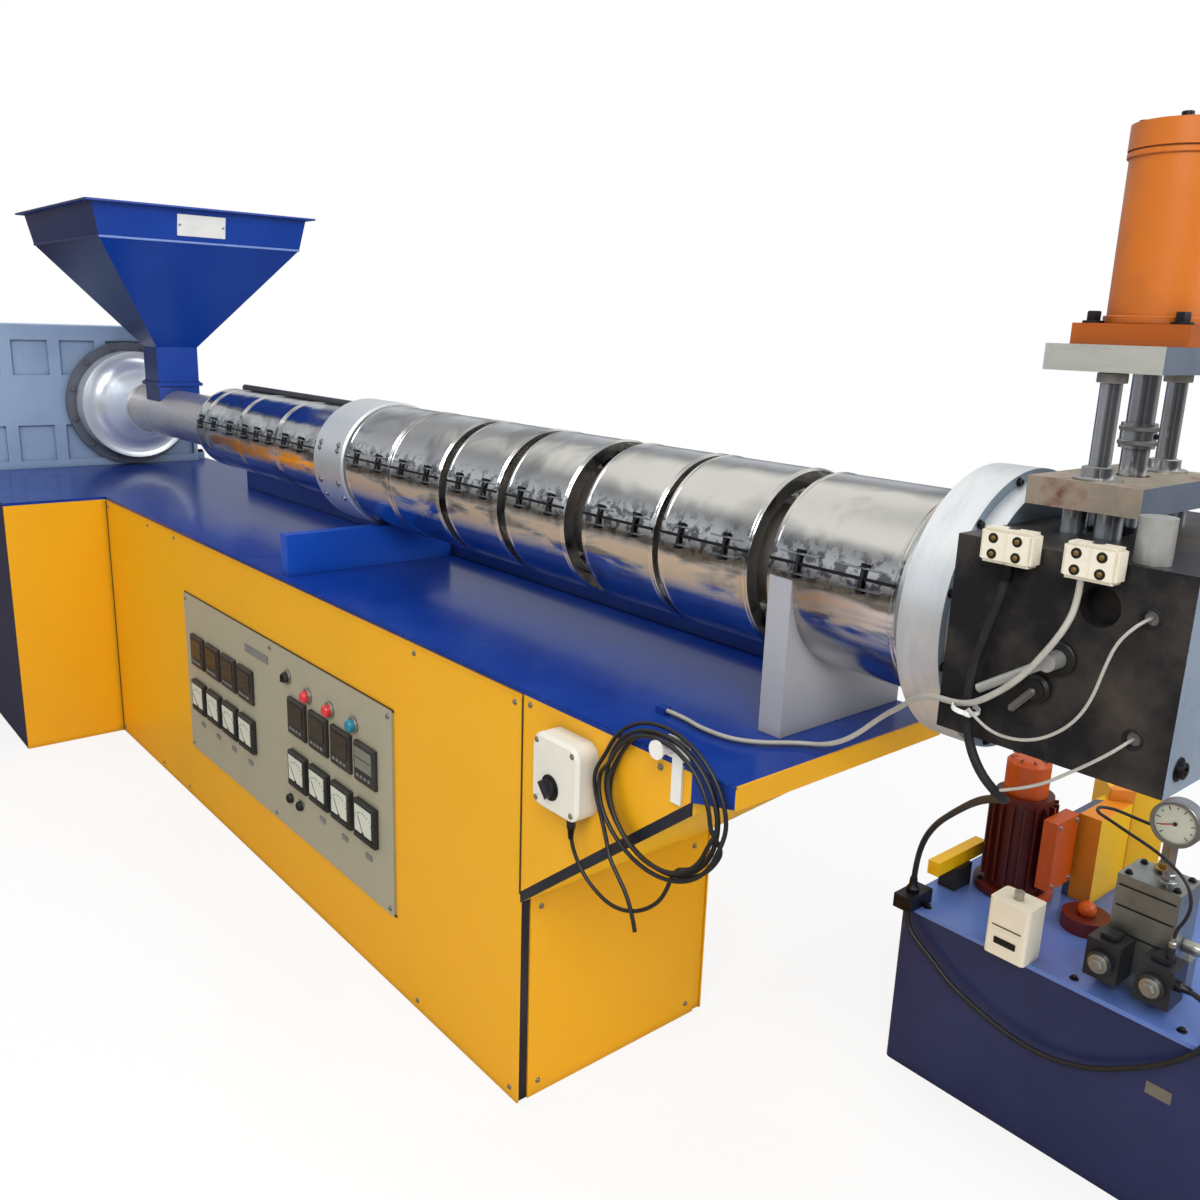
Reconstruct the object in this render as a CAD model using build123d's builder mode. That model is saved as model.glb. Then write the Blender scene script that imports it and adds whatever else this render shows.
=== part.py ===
"""Plastic extruder with a hopper, a heated barrel, a die head and an oil pump unit.

Millimetres. The origin is on the floor, in the middle of the long cabinet's foot.
+X runs along the barrel towards the die head, +Y to the back, +Z up.
"""
import os
from math import atan2, cos, degrees, pi, radians, sin, tan

from build123d import *

os.makedirs("parts", exist_ok=True)

# Driving sizes
DECK_TOP = 870.0            # height of the deck's upper face above the floor
DECK_T = 10.0               # deck plate
SHEET_T = 4.0               # cabinet panels
CAB_LENGTH = 2480.0         # long cabinet, along X
CAB_DEPTH = 516.0           # long cabinet, along Y
CAB_FRONT = -256.0          # front face of the long cabinet
BARREL_Y = 100.0            # barrel axis, behind the cabinet's middle
BARREL_Z = 1125.0           # barrel axis height

WIDE_LENGTH = 1420.0        # wide base under the gearbox, along X
WIDE_STEP = 322.0           # how far it stands in front of the long cabinet
WIDE_BACK = 170.0           # how far it stands behind it
TUBE = 40.0                 # square tube of the inner frame

OVERHANG = 520.0            # deck past the long cabinet's end
GUSSET_ROOT_Z = 468.0       # lower end of the sloping gusset
GUSSET_TIP_Z = 812.0        # upper end of the sloping gusset
SKIRT_LENGTH = 92.0         # folded lip of the deck, along X
SKIRT_END_Z = 833.0         # lower edge of the lip at the deck's end
FLANGE_T = 18.0             # sloping bottom flange

# Worked out
CAB_BACK = CAB_FRONT + CAB_DEPTH
CAB_MID_Y = (CAB_FRONT + CAB_BACK) / 2
CAB_X0, CAB_X1 = -CAB_LENGTH / 2, CAB_LENGTH / 2
WIDE_X0, WIDE_X1 = CAB_X0 - WIDE_LENGTH, CAB_X0
WIDE_FRONT = CAB_FRONT - WIDE_STEP
WIDE_REAR = CAB_BACK + WIDE_BACK
WIDE_DEPTH = WIDE_REAR - WIDE_FRONT
WIDE_MID_Y = (WIDE_FRONT + WIDE_REAR) / 2
DECK_UNDER = DECK_TOP - DECK_T
DECK_X1 = CAB_X1 + OVERHANG
DECK_PLATE_X1 = DECK_X1 - SHEET_T
GUSSET_X1 = DECK_X1 - SKIRT_LENGTH
UP = (Align.CENTER, Align.CENTER, Align.MIN)
UP_RIGHT = (Align.MIN, Align.CENTER, Align.MIN)
CORNER = (Align.MIN, Align.MIN, Align.MIN)
FRONT_LAID = (90, 0, 0)     # turns a cylinder so that it points to the front

# Base frames
FRAME_Y0, FRAME_Y1 = CAB_FRONT + SHEET_T, CAB_BACK - SHEET_T
LONG_X1 = CAB_X1 - SHEET_T
LONG_POSTS = (CAB_X0 + TUBE / 2, 0.0, LONG_X1 - TUBE / 2)
with BuildPart() as long_frame:
    for y in (FRAME_Y0 + TUBE / 2, FRAME_Y1 - TUBE / 2):
        with Locations(*[(x, y, 0) for x in LONG_POSTS]):
            Box(TUBE, TUBE, DECK_UNDER, align=UP)
        with Locations((CAB_X0, y, 0), (CAB_X0, y, DECK_UNDER - TUBE)):
            Box(LONG_X1 - CAB_X0, TUBE, TUBE, align=UP_RIGHT)
    for z in (0, DECK_UNDER - TUBE):
        with Locations(*[(x, CAB_MID_Y, z) for x in LONG_POSTS]):
            Box(TUBE, FRAME_Y1 - FRAME_Y0, TUBE, align=UP)
long_frame.part.label = "long_frame"
export_step(long_frame.part, "parts/long_frame.step")

WIDE_FY0, WIDE_FY1 = WIDE_FRONT + SHEET_T, WIDE_REAR - SHEET_T
WIDE_FX0, WIDE_FX1 = WIDE_X0 + SHEET_T, WIDE_X1 - SHEET_T
WIDE_POSTS = (WIDE_FX0 + TUBE / 2, WIDE_FX1 - TUBE / 2)
with BuildPart() as wide_frame:
    for y in (WIDE_FY0 + TUBE / 2, WIDE_FY1 - TUBE / 2):
        with Locations(*[(x, y, 0) for x in WIDE_POSTS]):
            Box(TUBE, TUBE, DECK_UNDER, align=UP)
        with Locations((WIDE_FX0, y, 0), (WIDE_FX0, y, DECK_UNDER - TUBE)):
            Box(WIDE_FX1 - WIDE_FX0, TUBE, TUBE, align=UP_RIGHT)
    for z in (0, DECK_UNDER - TUBE):
        with Locations(*[(x, WIDE_MID_Y, z) for x in WIDE_POSTS]):
            Box(TUBE, WIDE_FY1 - WIDE_FY0, TUBE, align=UP)
    # lugs that bolt the two frames together
    for y in (FRAME_Y0 + TUBE / 2, FRAME_Y1 - TUBE / 2):
        with Locations((WIDE_FX1, y, 0), (WIDE_FX1, y, DECK_UNDER - TUBE)):
            Box(SHEET_T, TUBE, TUBE, align=UP_RIGHT)
wide_frame.part.label = "wide_frame"
export_step(wide_frame.part, "parts/wide_frame.step")

# Cabinet panels
CORNER_SLOT = 26.0          # bare frame post that shows beside the end panel
with BuildPart() as front_panel:
    with Locations((CAB_X0, CAB_FRONT, 0)):
        Box(CAB_LENGTH, SHEET_T, DECK_UNDER, align=CORNER)
front_panel.part.label = "front_panel"
export_step(front_panel.part, "parts/front_panel.step")

with BuildPart() as back_panels:
    with Locations((CAB_X0, CAB_BACK - SHEET_T, 0)):
        Box(CAB_LENGTH, SHEET_T, DECK_UNDER, align=CORNER)
    with Locations((WIDE_X0 + SHEET_T, WIDE_REAR - SHEET_T, 0)):
        Box(WIDE_LENGTH - 2 * SHEET_T, SHEET_T, DECK_UNDER, align=CORNER)
back_panels.part.label = "back_panels"
export_step(back_panels.part, "parts/back_panels.step")

with BuildPart() as end_panel:
    with Locations((CAB_X1 - SHEET_T, CAB_FRONT + CORNER_SLOT, 0)):
        Box(SHEET_T, CAB_DEPTH - 2 * CORNER_SLOT, DECK_UNDER, align=CORNER)
end_panel.part.label = "end_panel"
export_step(end_panel.part, "parts/end_panel.step")

with BuildPart() as wide_front_panel:
    with Locations((WIDE_X0 + SHEET_T, WIDE_FRONT, 0)):
        Box(WIDE_LENGTH - 2 * SHEET_T, SHEET_T, DECK_UNDER, align=CORNER)
wide_front_panel.part.label = "wide_front_panel"
export_step(wide_front_panel.part, "parts/wide_front_panel.step")

with BuildPart() as wide_side_panels:
    with Locations((WIDE_X1 - SHEET_T, WIDE_FRONT, 0)):
        Box(SHEET_T, WIDE_STEP, DECK_UNDER, align=CORNER)
    with Locations((WIDE_X1 - SHEET_T, CAB_BACK, 0)):
        Box(SHEET_T, WIDE_BACK, DECK_UNDER, align=CORNER)
    with Locations((WIDE_X0, WIDE_FRONT, 0)):
        Box(SHEET_T, WIDE_DEPTH, DECK_UNDER, align=CORNER)
wide_side_panels.part.label = "wide_side_panels"
export_step(wide_side_panels.part, "parts/wide_side_panels.step")

# Deck, with its lips folded down at the overhang and a clip for the leads that lie on it
CLIP_L, CLIP_W, CLIP_H = 20.0, 18.0, 12.0
CLIP_X, CLIP_Y = 1474.0, -134.0
with BuildPart() as deck_plate:
    with BuildSketch(Plane.XY.offset(DECK_UNDER)):
        with BuildLine():
            Polyline(
                (WIDE_X0, WIDE_FRONT), (WIDE_X1, WIDE_FRONT), (WIDE_X1, CAB_FRONT),
                (DECK_PLATE_X1, CAB_FRONT), (DECK_PLATE_X1, CAB_BACK), (WIDE_X1, CAB_BACK),
                (WIDE_X1, WIDE_REAR), (WIDE_X0, WIDE_REAR), close=True)
        make_face()
    extrude(amount=DECK_T)
    with BuildSketch(Plane.XZ.offset(-CAB_FRONT)):
        with BuildLine():
            Polyline((GUSSET_X1, GUSSET_TIP_Z), (DECK_PLATE_X1, SKIRT_END_Z),
                     (DECK_PLATE_X1, DECK_UNDER), (GUSSET_X1, DECK_UNDER), close=True)
        make_face()
    lip = extrude(amount=-SHEET_T)
    mirror(lip, about=Plane.XZ.offset(-CAB_MID_Y))
    with Locations((CLIP_X, CLIP_Y, DECK_TOP)):
        Box(CLIP_L, CLIP_W, CLIP_H, align=UP)
deck_plate.part.label = "deck_plate"
export_step(deck_plate.part, "parts/deck_plate.step")

# Overhang
SLOPE = degrees(atan2(GUSSET_TIP_Z - GUSSET_ROOT_Z, GUSSET_X1 - CAB_X1))
FLANGE_RISE = FLANGE_T / cos(radians(SLOPE))
with BuildPart() as overhang_panels:
    with BuildSketch(Plane.XZ.offset(-CAB_FRONT)):
        with BuildLine():
            Polyline((CAB_X1, GUSSET_ROOT_Z), (GUSSET_X1, GUSSET_TIP_Z),
                     (GUSSET_X1, DECK_UNDER), (CAB_X1, DECK_UNDER), close=True)
        make_face()
    gusset = extrude(amount=-SHEET_T)
    mirror(gusset, about=Plane.XZ.offset(-CAB_MID_Y))
    with Locations((DECK_PLATE_X1, CAB_FRONT, SKIRT_END_Z)):
        Box(SHEET_T, CAB_DEPTH, DECK_TOP - SKIRT_END_Z, align=CORNER)
overhang_panels.part.label = "overhang_panels"
export_step(overhang_panels.part, "parts/overhang_panels.step")

with BuildPart() as overhang_flange:
    with BuildSketch(Plane.XZ.offset(-CAB_FRONT)):
        with BuildLine():
            Polyline((CAB_X1, GUSSET_ROOT_Z), (GUSSET_X1, GUSSET_TIP_Z),
                     (GUSSET_X1, GUSSET_TIP_Z - FLANGE_RISE),
                     (CAB_X1, GUSSET_ROOT_Z - FLANGE_RISE), close=True)
        make_face()
    extrude(amount=-CAB_DEPTH)
overhang_flange.part.label = "overhang_flange"
export_step(overhang_flange.part, "parts/overhang_flange.step")

# Control panel
PANEL_W, PANEL_H, PANEL_T = 1260.0, 495.0, 6.0
PANEL_CORNER_R = 10.0
PANEL_X, PANEL_Z0 = 140.0, 190.0
PANEL_FACE = CAB_FRONT - PANEL_T
INSTRUMENT = 96.0           # face of a controller or a meter
BEZEL = 3.0                 # bevel round that face
PITCH = 119.0               # between neighbours in a row of four
GROUP_X0, GROUP_X1 = -204.0, 478.0  # middle of the left and the right group
CONTROLLER_Z, METER_Z = 522.0, 380.0
CONTROLLER_PROUD, METER_PROUD = 10.0, 14.0
INSTRUMENT_XS = [x + (i - 1.5) * PITCH for x in (GROUP_X0, GROUP_X1) for i in range(4)]
with BuildPart() as control_panel:
    with Locations((PANEL_X, CAB_FRONT - PANEL_T / 2, PANEL_Z0)):
        Box(PANEL_W, PANEL_T, PANEL_H, align=UP)
    fillet(control_panel.edges().filter_by(Axis.Y), radius=PANEL_CORNER_R)
control_panel.part.label = "control_panel"
export_step(control_panel.part, "parts/control_panel.step")

with BuildPart() as temperature_controllers:
    for x in INSTRUMENT_XS:
        with Locations((x, PANEL_FACE - CONTROLLER_PROUD / 2, CONTROLLER_Z)):
            Box(INSTRUMENT, CONTROLLER_PROUD, INSTRUMENT)
    chamfer(temperature_controllers.faces().filter_by(Axis.Y).sort_by(Axis.Y)[:8].edges(), BEZEL)
temperature_controllers.part.label = "temperature_controllers"
export_step(temperature_controllers.part, "parts/temperature_controllers.step")

with BuildPart() as ammeters:
    for x in INSTRUMENT_XS:
        with Locations((x, PANEL_FACE - METER_PROUD / 2, METER_Z)):
            Box(INSTRUMENT, METER_PROUD, INSTRUMENT)
    chamfer(ammeters.faces().filter_by(Axis.Y).sort_by(Axis.Y)[:8].edges(), BEZEL)
ammeters.part.label = "ammeters"
export_step(ammeters.part, "parts/ammeters.step")

LAMP_R, LAMP_PROUD, LAMP_BEVEL = 14.0, 16.0, 3.0
LAMP_X, LAMP_Z = 478.0, 600.0
KEY_X, KEY_Z = 245.0, 618.0
with BuildPart() as indicator_lamps:
    for x in (LAMP_X - PITCH, LAMP_X, LAMP_X + PITCH):
        with Locations(Location((x, PANEL_FACE, LAMP_Z), FRONT_LAID)):
            Cylinder(LAMP_R, LAMP_PROUD, align=UP)
    with Locations(Location((KEY_X, PANEL_FACE, KEY_Z), FRONT_LAID)):
        Cylinder(LAMP_R, LAMP_PROUD, align=UP)
    chamfer(indicator_lamps.faces().filter_by(Axis.Y).sort_by(Axis.Y)[:4].edges(), LAMP_BEVEL)
indicator_lamps.part.label = "indicator_lamps"
export_step(indicator_lamps.part, "parts/indicator_lamps.step")

# Switch box, with the gland that its cable leaves by
BOX_W, BOX_H, BOX_D = 125.0, 136.0, 45.0
BOX_CORNER_R, BOX_BEVEL = 26.0, 6.0
BOX_X, BOX_Z = 1390.0, 765.0
GLAND_X, GLAND_R, GLAND_L = 1413.0, 8.0, 20.0
GLAND_Y = CAB_FRONT - BOX_D / 2
with BuildPart() as switch_box:
    with Locations((BOX_X, CAB_FRONT - BOX_D / 2, BOX_Z)):
        Box(BOX_W, BOX_D, BOX_H)
    fillet(switch_box.edges().filter_by(Axis.Y), radius=BOX_CORNER_R)
    chamfer(switch_box.faces().sort_by(Axis.Y)[0].edges(), BOX_BEVEL)
    with Locations((GLAND_X, GLAND_Y, BOX_Z - BOX_H / 2 - GLAND_L)):
        Cylinder(GLAND_R, GLAND_L, align=UP)
switch_box.part.label = "switch_box"
export_step(switch_box.part, "parts/switch_box.step")

KNOB_R, KNOB_T, GRIP_T, GRIP_W = 16.0, 8.0, 9.0, 8.0
KNOB_X, KNOB_Z, KNOB_TURN = BOX_X - 9, BOX_Z - 22, -50.0
with BuildPart() as switch_knob:
    with Locations(Location((KNOB_X, CAB_FRONT - BOX_D, KNOB_Z), FRONT_LAID)):
        Cylinder(KNOB_R, KNOB_T, align=UP)
        with Locations(Location((0, 0, KNOB_T), (0, 0, KNOB_TURN))):
            Box(2 * KNOB_R, GRIP_W, GRIP_T, align=UP)
switch_knob.part.label = "switch_knob"
export_step(switch_knob.part, "parts/switch_knob.step")

# Hook that the spare cable hangs on: a strap up the deck's edge, a head plate and a peg
HOOK_X, HOOK_T = 1628.0, 4.0
STRAP_W, STRAP_Z0 = 22.0, 800.0
HOOK_HEAD_W, HOOK_HEAD_Z0, HOOK_HEAD_Z1 = 46.0, 872.0, 906.0
PEG_R, PEG_L, PEG_CAP_R, PEG_CAP_T = 10.5, 27.0, 15.0, 3.0
PEG_X, PEG_Z = 1622.0, 889.2
with BuildPart() as coil_hook:
    with Locations((HOOK_X + STRAP_W / 2, CAB_FRONT, STRAP_Z0)):
        Box(STRAP_W, HOOK_T, HOOK_HEAD_Z0 - STRAP_Z0, align=(Align.CENTER, Align.MAX, Align.MIN))
    with Locations((HOOK_X + STRAP_W / 2, CAB_FRONT, HOOK_HEAD_Z0)):
        Box(HOOK_HEAD_W, HOOK_T, HOOK_HEAD_Z1 - HOOK_HEAD_Z0,
            align=(Align.CENTER, Align.MAX, Align.MIN))
    with Locations(Location((PEG_X, CAB_FRONT - HOOK_T, PEG_Z), FRONT_LAID)):
        Cylinder(PEG_R, PEG_L, align=UP)
        with Locations((0, 0, PEG_L)):
            Cylinder(PEG_CAP_R, PEG_CAP_T, align=UP)
coil_hook.part.label = "coil_hook"
export_step(coil_hook.part, "parts/coil_hook.step")

# Gearbox
GEAR_FACE_X = -2080.0       # face that the barrel is bolted to
GEAR_L, GEAR_H = 460.0, 565.0
GEAR_Y0, GEAR_Y1 = -520.0, 380.0
GEAR_CORNER_R = 18.0
GEAR_FOOT_H, GEAR_FOOT_OUT, GEAR_FOOT_IN = 28.0, 34.0, 30.0
RIB_W, RIB_DEPTH, RIB_PITCH = 26.0, 14.0, 177.0
RIB_Y = -355.0              # the first rib behind the front corner
LOW_FIELD = (900.0, 1042.0)
HIGH_FIELD = (1241.0, 1378.0)
GEAR_MID_X, GEAR_MID_Y = GEAR_FACE_X - GEAR_L / 2, (GEAR_Y0 + GEAR_Y1) / 2
RIB_YS = [GEAR_Y0] + [RIB_Y + i * RIB_PITCH for i in range(4)] + [GEAR_Y1]
with BuildPart() as gearbox_housing:
    with Locations((GEAR_FACE_X, GEAR_MID_Y, DECK_TOP)):
        Box(GEAR_L, GEAR_Y1 - GEAR_Y0, GEAR_H, align=(Align.MAX, Align.CENTER, Align.MIN))
    fillet(gearbox_housing.edges().filter_by(Axis.Z), radius=GEAR_CORNER_R)
    # sunk fields between the cast ribs, on the face and on both sides
    for z0, z1 in (LOW_FIELD, HIGH_FIELD):
        for y0, y1 in zip(RIB_YS, RIB_YS[1:]):
            with Locations((GEAR_FACE_X, (y0 + y1) / 2, (z0 + z1) / 2)):
                Box(2 * RIB_DEPTH, y1 - y0 - RIB_W - GEAR_CORNER_R, z1 - z0, mode=Mode.SUBTRACT)
        for side in (GEAR_Y0, GEAR_Y1):
            for dx in (-0.5, 0.5):
                with Locations((GEAR_MID_X + dx * RIB_PITCH, side, (z0 + z1) / 2)):
                    Box(RIB_PITCH - RIB_W, 2 * RIB_DEPTH, z1 - z0, mode=Mode.SUBTRACT)
    # feet
    with Locations((GEAR_MID_X, GEAR_MID_Y, DECK_TOP)):
        Box(GEAR_L - 2 * GEAR_FOOT_IN, GEAR_Y1 - GEAR_Y0 + 2 * GEAR_FOOT_OUT, GEAR_FOOT_H, align=UP)
gearbox_housing.part.label = "gearbox_housing"
export_step(gearbox_housing.part, "parts/gearbox_housing.step")

# Thrust bearing bell
RING_R, RING_T = 250.0, 22.0
BELL_R, BELL_RIM_L, BELL_L = 215.0, 90.0, 250.0
BELL_THROAT_R, BELL_CURVE_L = 128.0, 52.0
BELL_CURVE_IN = 0.78        # how far the curve sags inside its chord's corner
FEED_R, BORE_R = 90.0, 45.0
SPIGOT_R, SPIGOT_L = 70.0, 60.0
BELL_NOSE_R = 98.0
BELL_X = GEAR_FACE_X + RING_T       # seat of the bell on the ring
FEED_X0 = BELL_X + BELL_L           # the barrel's bare feed end starts here
BARREL_PLANE = Plane(origin=(0, BARREL_Y, BARREL_Z), x_dir=(0, 1, 0), z_dir=(1, 0, 0))

with BuildPart() as bearing_ring:
    with BuildSketch(BARREL_PLANE.offset(GEAR_FACE_X)):
        Circle(RING_R)
        Circle(FEED_R, mode=Mode.SUBTRACT)
    extrude(amount=RING_T)
bearing_ring.part.label = "bearing_ring"
export_step(bearing_ring.part, "parts/bearing_ring.step")

RIM_X1 = BELL_X + BELL_RIM_L
with BuildPart() as bearing_bell:
    with BuildSketch(Plane.XZ.offset(-BARREL_Y)):
        with BuildLine():
            l1 = Line((BELL_X, BARREL_Z + SPIGOT_R), (BELL_X, BARREL_Z + BELL_R))
            l2 = Line(l1 @ 1, (RIM_X1, BARREL_Z + BELL_R))
            curve = ThreePointArc(
                l2 @ 1,
                (RIM_X1 + BELL_CURVE_L * (1 - BELL_CURVE_IN),
                 BARREL_Z + BELL_R - BELL_CURVE_IN * (BELL_R - BELL_THROAT_R)),
                (RIM_X1 + BELL_CURVE_L, BARREL_Z + BELL_THROAT_R))
            l3 = Line(curve @ 1, (FEED_X0, BARREL_Z + BELL_NOSE_R))
            l4 = Line(l3 @ 1, (FEED_X0, BARREL_Z + SPIGOT_R))
            Line(l4 @ 1, l1 @ 0)
        make_face()
    revolve(axis=Axis((0, BARREL_Y, BARREL_Z), (1, 0, 0)))
bearing_bell.part.label = "bearing_bell"
export_step(bearing_bell.part, "parts/bearing_bell.step")

# Barrel and screw
BARREL_END = 1990.0
FEED_BAND_R, MAIN_BAND_R = 130.0, 157.0
THROAT_X = -1540.0
THROAT_W, THROAT_L, THROAT_WALL = 150.0, 150.0, 15.0
with BuildPart() as barrel_tube:
    with BuildSketch(BARREL_PLANE.offset(FEED_X0 - SPIGOT_L)):
        Circle(SPIGOT_R)
    extrude(amount=SPIGOT_L)
    with BuildSketch(BARREL_PLANE.offset(FEED_X0)):
        Circle(FEED_R)
    extrude(amount=BARREL_END - FEED_X0)
    with BuildSketch(BARREL_PLANE.offset(FEED_X0 - SPIGOT_L)):
        Circle(BORE_R)
    extrude(amount=BARREL_END - FEED_X0 + SPIGOT_L, mode=Mode.SUBTRACT)
    with Locations((THROAT_X, BARREL_Y, BARREL_Z)):
        Box(THROAT_L - 2 * THROAT_WALL, 2 * BORE_R, 2 * FEED_R, align=UP, mode=Mode.SUBTRACT)
barrel_tube.part.label = "barrel_tube"
export_step(barrel_tube.part, "parts/barrel_tube.step")

SCREW_CORE_R, SCREW_LEAD, FLIGHT_T = 28.0, 90.0, 10.0
SHANK_L, TIP_GAP, TIP_FLIGHT_GAP = 60.0, 40.0, 120.0
SCREW_X0 = FEED_X0 - SPIGOT_L
FLIGHT_XS = [THROAT_X + (i - 2) * SCREW_LEAD / 2 for i in range(5)]
with BuildPart() as extruder_screw:
    with BuildSketch(BARREL_PLANE.offset(SCREW_X0)):
        Circle(SCREW_CORE_R)
    extrude(amount=BARREL_END - TIP_GAP - SCREW_X0)
    with BuildSketch(BARREL_PLANE.offset(SCREW_X0)):
        Circle(BORE_R)
    extrude(amount=SHANK_L)
    for x in FLIGHT_XS + [BARREL_END - TIP_FLIGHT_GAP]:
        with BuildSketch(BARREL_PLANE.offset(x)):
            Circle(BORE_R)
        extrude(amount=FLIGHT_T)
extruder_screw.part.label = "extruder_screw"
export_step(extruder_screw.part, "parts/extruder_screw.step")

# Heater bands, as the start and the length of each along the barrel
FEED_BANDS = ((-946.0, 78.0), (-864.0, 266.0), (-594.0, 279.0), (-311.0, 325.0))
MAIN_BANDS = ((180.0, 221.0), (405.0, 225.0), (660.0, 201.0), (891.0, 199.0),
              (1146.0, 198.0), (1359.0, 211.0))
HEAD_BAND = (1613.0, 240.0)
HEAD_BAND_X1 = HEAD_BAND[0] + HEAD_BAND[1]

with BuildPart() as feed_heater_bands:
    for x0, length in FEED_BANDS:
        with BuildSketch(BARREL_PLANE.offset(x0)):
            Circle(FEED_BAND_R)
            Circle(FEED_R, mode=Mode.SUBTRACT)
        extrude(amount=length)
feed_heater_bands.part.label = "feed_heater_bands"
export_step(feed_heater_bands.part, "parts/feed_heater_bands.step")

with BuildPart() as main_heater_bands:
    for x0, length in MAIN_BANDS + (HEAD_BAND,):
        with BuildSketch(BARREL_PLANE.offset(x0)):
            Circle(MAIN_BAND_R)
            Circle(FEED_R, mode=Mode.SUBTRACT)
        extrude(amount=length)
main_heater_bands.part.label = "main_heater_bands"
export_step(main_heater_bands.part, "parts/main_heater_bands.step")

COLLAR_R, COLLAR_X0, COLLAR_L, COLLAR_BEVEL = 165.0, 14.0, 160.0, 5.0
with BuildPart() as barrel_collar:
    with BuildSketch(BARREL_PLANE.offset(COLLAR_X0)):
        Circle(COLLAR_R)
        Circle(FEED_R, mode=Mode.SUBTRACT)
    extrude(amount=COLLAR_L)
    chamfer(barrel_collar.faces().sort_by(Axis.X)[-1].edges().sort_by(SortBy.LENGTH)[-1:], COLLAR_BEVEL)
barrel_collar.part.label = "barrel_collar"
export_step(barrel_collar.part, "parts/barrel_collar.step")

# Stands
STAND_T, STAND_W, STAND_H = 38.0, 476.0, 103.0
STAND_X0 = COLLAR_X0 + COLLAR_L
with BuildPart() as collar_stand:
    with Locations((STAND_X0, CAB_MID_Y, DECK_TOP)):
        Box(STAND_T, STAND_W, STAND_H, align=UP_RIGHT)
    with BuildSketch(BARREL_PLANE.offset(STAND_X0)):
        Circle(MAIN_BAND_R)
    extrude(amount=STAND_T, mode=Mode.SUBTRACT)
collar_stand.part.label = "collar_stand"
export_step(collar_stand.part, "parts/collar_stand.step")

SADDLE_FROM_END, SADDLE_T, SADDLE_W = 138.0, 46.0, 320.0
SADDLE_X0 = DECK_X1 - SADDLE_FROM_END
SADDLE_ABOVE_AXIS = 6.0
with BuildPart() as barrel_saddle:
    with Locations((SADDLE_X0, BARREL_Y, DECK_TOP)):
        Box(SADDLE_T, SADDLE_W, BARREL_Z + SADDLE_ABOVE_AXIS - DECK_TOP, align=UP_RIGHT)
    with BuildSketch(BARREL_PLANE.offset(SADDLE_X0 - SADDLE_T)):
        Circle(MAIN_BAND_R)
    extrude(amount=3 * SADDLE_T, mode=Mode.SUBTRACT)
barrel_saddle.part.label = "barrel_saddle"
export_step(barrel_saddle.part, "parts/barrel_saddle.step")

# Wire conduit, on the bands' back shoulder before and past the collar
CONDUIT_R = 11.0
FEED_CONDUIT_ANGLE, MAIN_CONDUIT_ANGLE = 72.0, 46.0
CONDUIT_X0, COLLAR_GAP = -940.0, 5.0
FLANGE_X0 = 1892.0
with BuildPart() as wire_conduit:
    for x0, x1, band_r, angle in (
            (CONDUIT_X0, COLLAR_X0 - COLLAR_GAP, FEED_BAND_R, FEED_CONDUIT_ANGLE),
            (COLLAR_X0 + COLLAR_L + COLLAR_GAP, FLANGE_X0, MAIN_BAND_R, MAIN_CONDUIT_ANGLE)):
        off = band_r + CONDUIT_R
        with BuildSketch(BARREL_PLANE.offset(x0)):
            with Locations((off * cos(radians(angle)), off * sin(radians(angle)))):
                Circle(CONDUIT_R)
        extrude(amount=x1 - x0)
wire_conduit.part.label = "wire_conduit"
export_step(wire_conduit.part, "parts/wire_conduit.step")

# Hopper
THROAT_RISE, THROAT_PLATE_T, THROAT_PLATE_OUT = 30.0, 12.0, 10.0
NECK, NECK_H = 150.0, 130.0
HOPPER_L, HOPPER_W, HOPPER_H = 868.0, 726.0, 463.0
HOPPER_BAND, HOPPER_TAPER = 105.0, 20.0
HOPPER_WALL = 4.0
RIM_OUT, RIM_T = 26.0, 6.0
THROAT_TOP = BARREL_Z + FEED_R + THROAT_RISE
NECK_TOP = THROAT_TOP + NECK_H
HOPPER_TOP = NECK_TOP + HOPPER_H
CONE_TOP = HOPPER_TOP - HOPPER_BAND
THROAT_PLATE = NECK + 2 * THROAT_PLATE_OUT
with BuildPart() as feed_throat:
    with Locations((THROAT_X, BARREL_Y, BARREL_Z)):
        Box(THROAT_L, THROAT_W, THROAT_TOP - BARREL_Z, align=UP)
    with Locations((THROAT_X, BARREL_Y, THROAT_TOP - THROAT_PLATE_T)):
        Box(THROAT_PLATE, THROAT_PLATE, THROAT_PLATE_T, align=UP)
    with BuildSketch(BARREL_PLANE.offset(THROAT_X - THROAT_L)):
        Circle(FEED_R)
    extrude(amount=2 * THROAT_L, mode=Mode.SUBTRACT)
    with Locations((THROAT_X, BARREL_Y, BARREL_Z)):
        Box(THROAT_L - 2 * THROAT_WALL, 2 * BORE_R, 2 * THROAT_L, align=UP, mode=Mode.SUBTRACT)
feed_throat.part.label = "feed_throat"
export_step(feed_throat.part, "parts/feed_throat.step")

with BuildPart() as hopper_neck:
    with Locations((THROAT_X, BARREL_Y, THROAT_TOP)):
        Box(NECK, NECK, NECK_H, align=UP)
        Box(NECK - 2 * HOPPER_WALL, NECK - 2 * HOPPER_WALL, NECK_H, align=UP, mode=Mode.SUBTRACT)
hopper_neck.part.label = "hopper_neck"
export_step(hopper_neck.part, "parts/hopper_neck.step")

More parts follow.
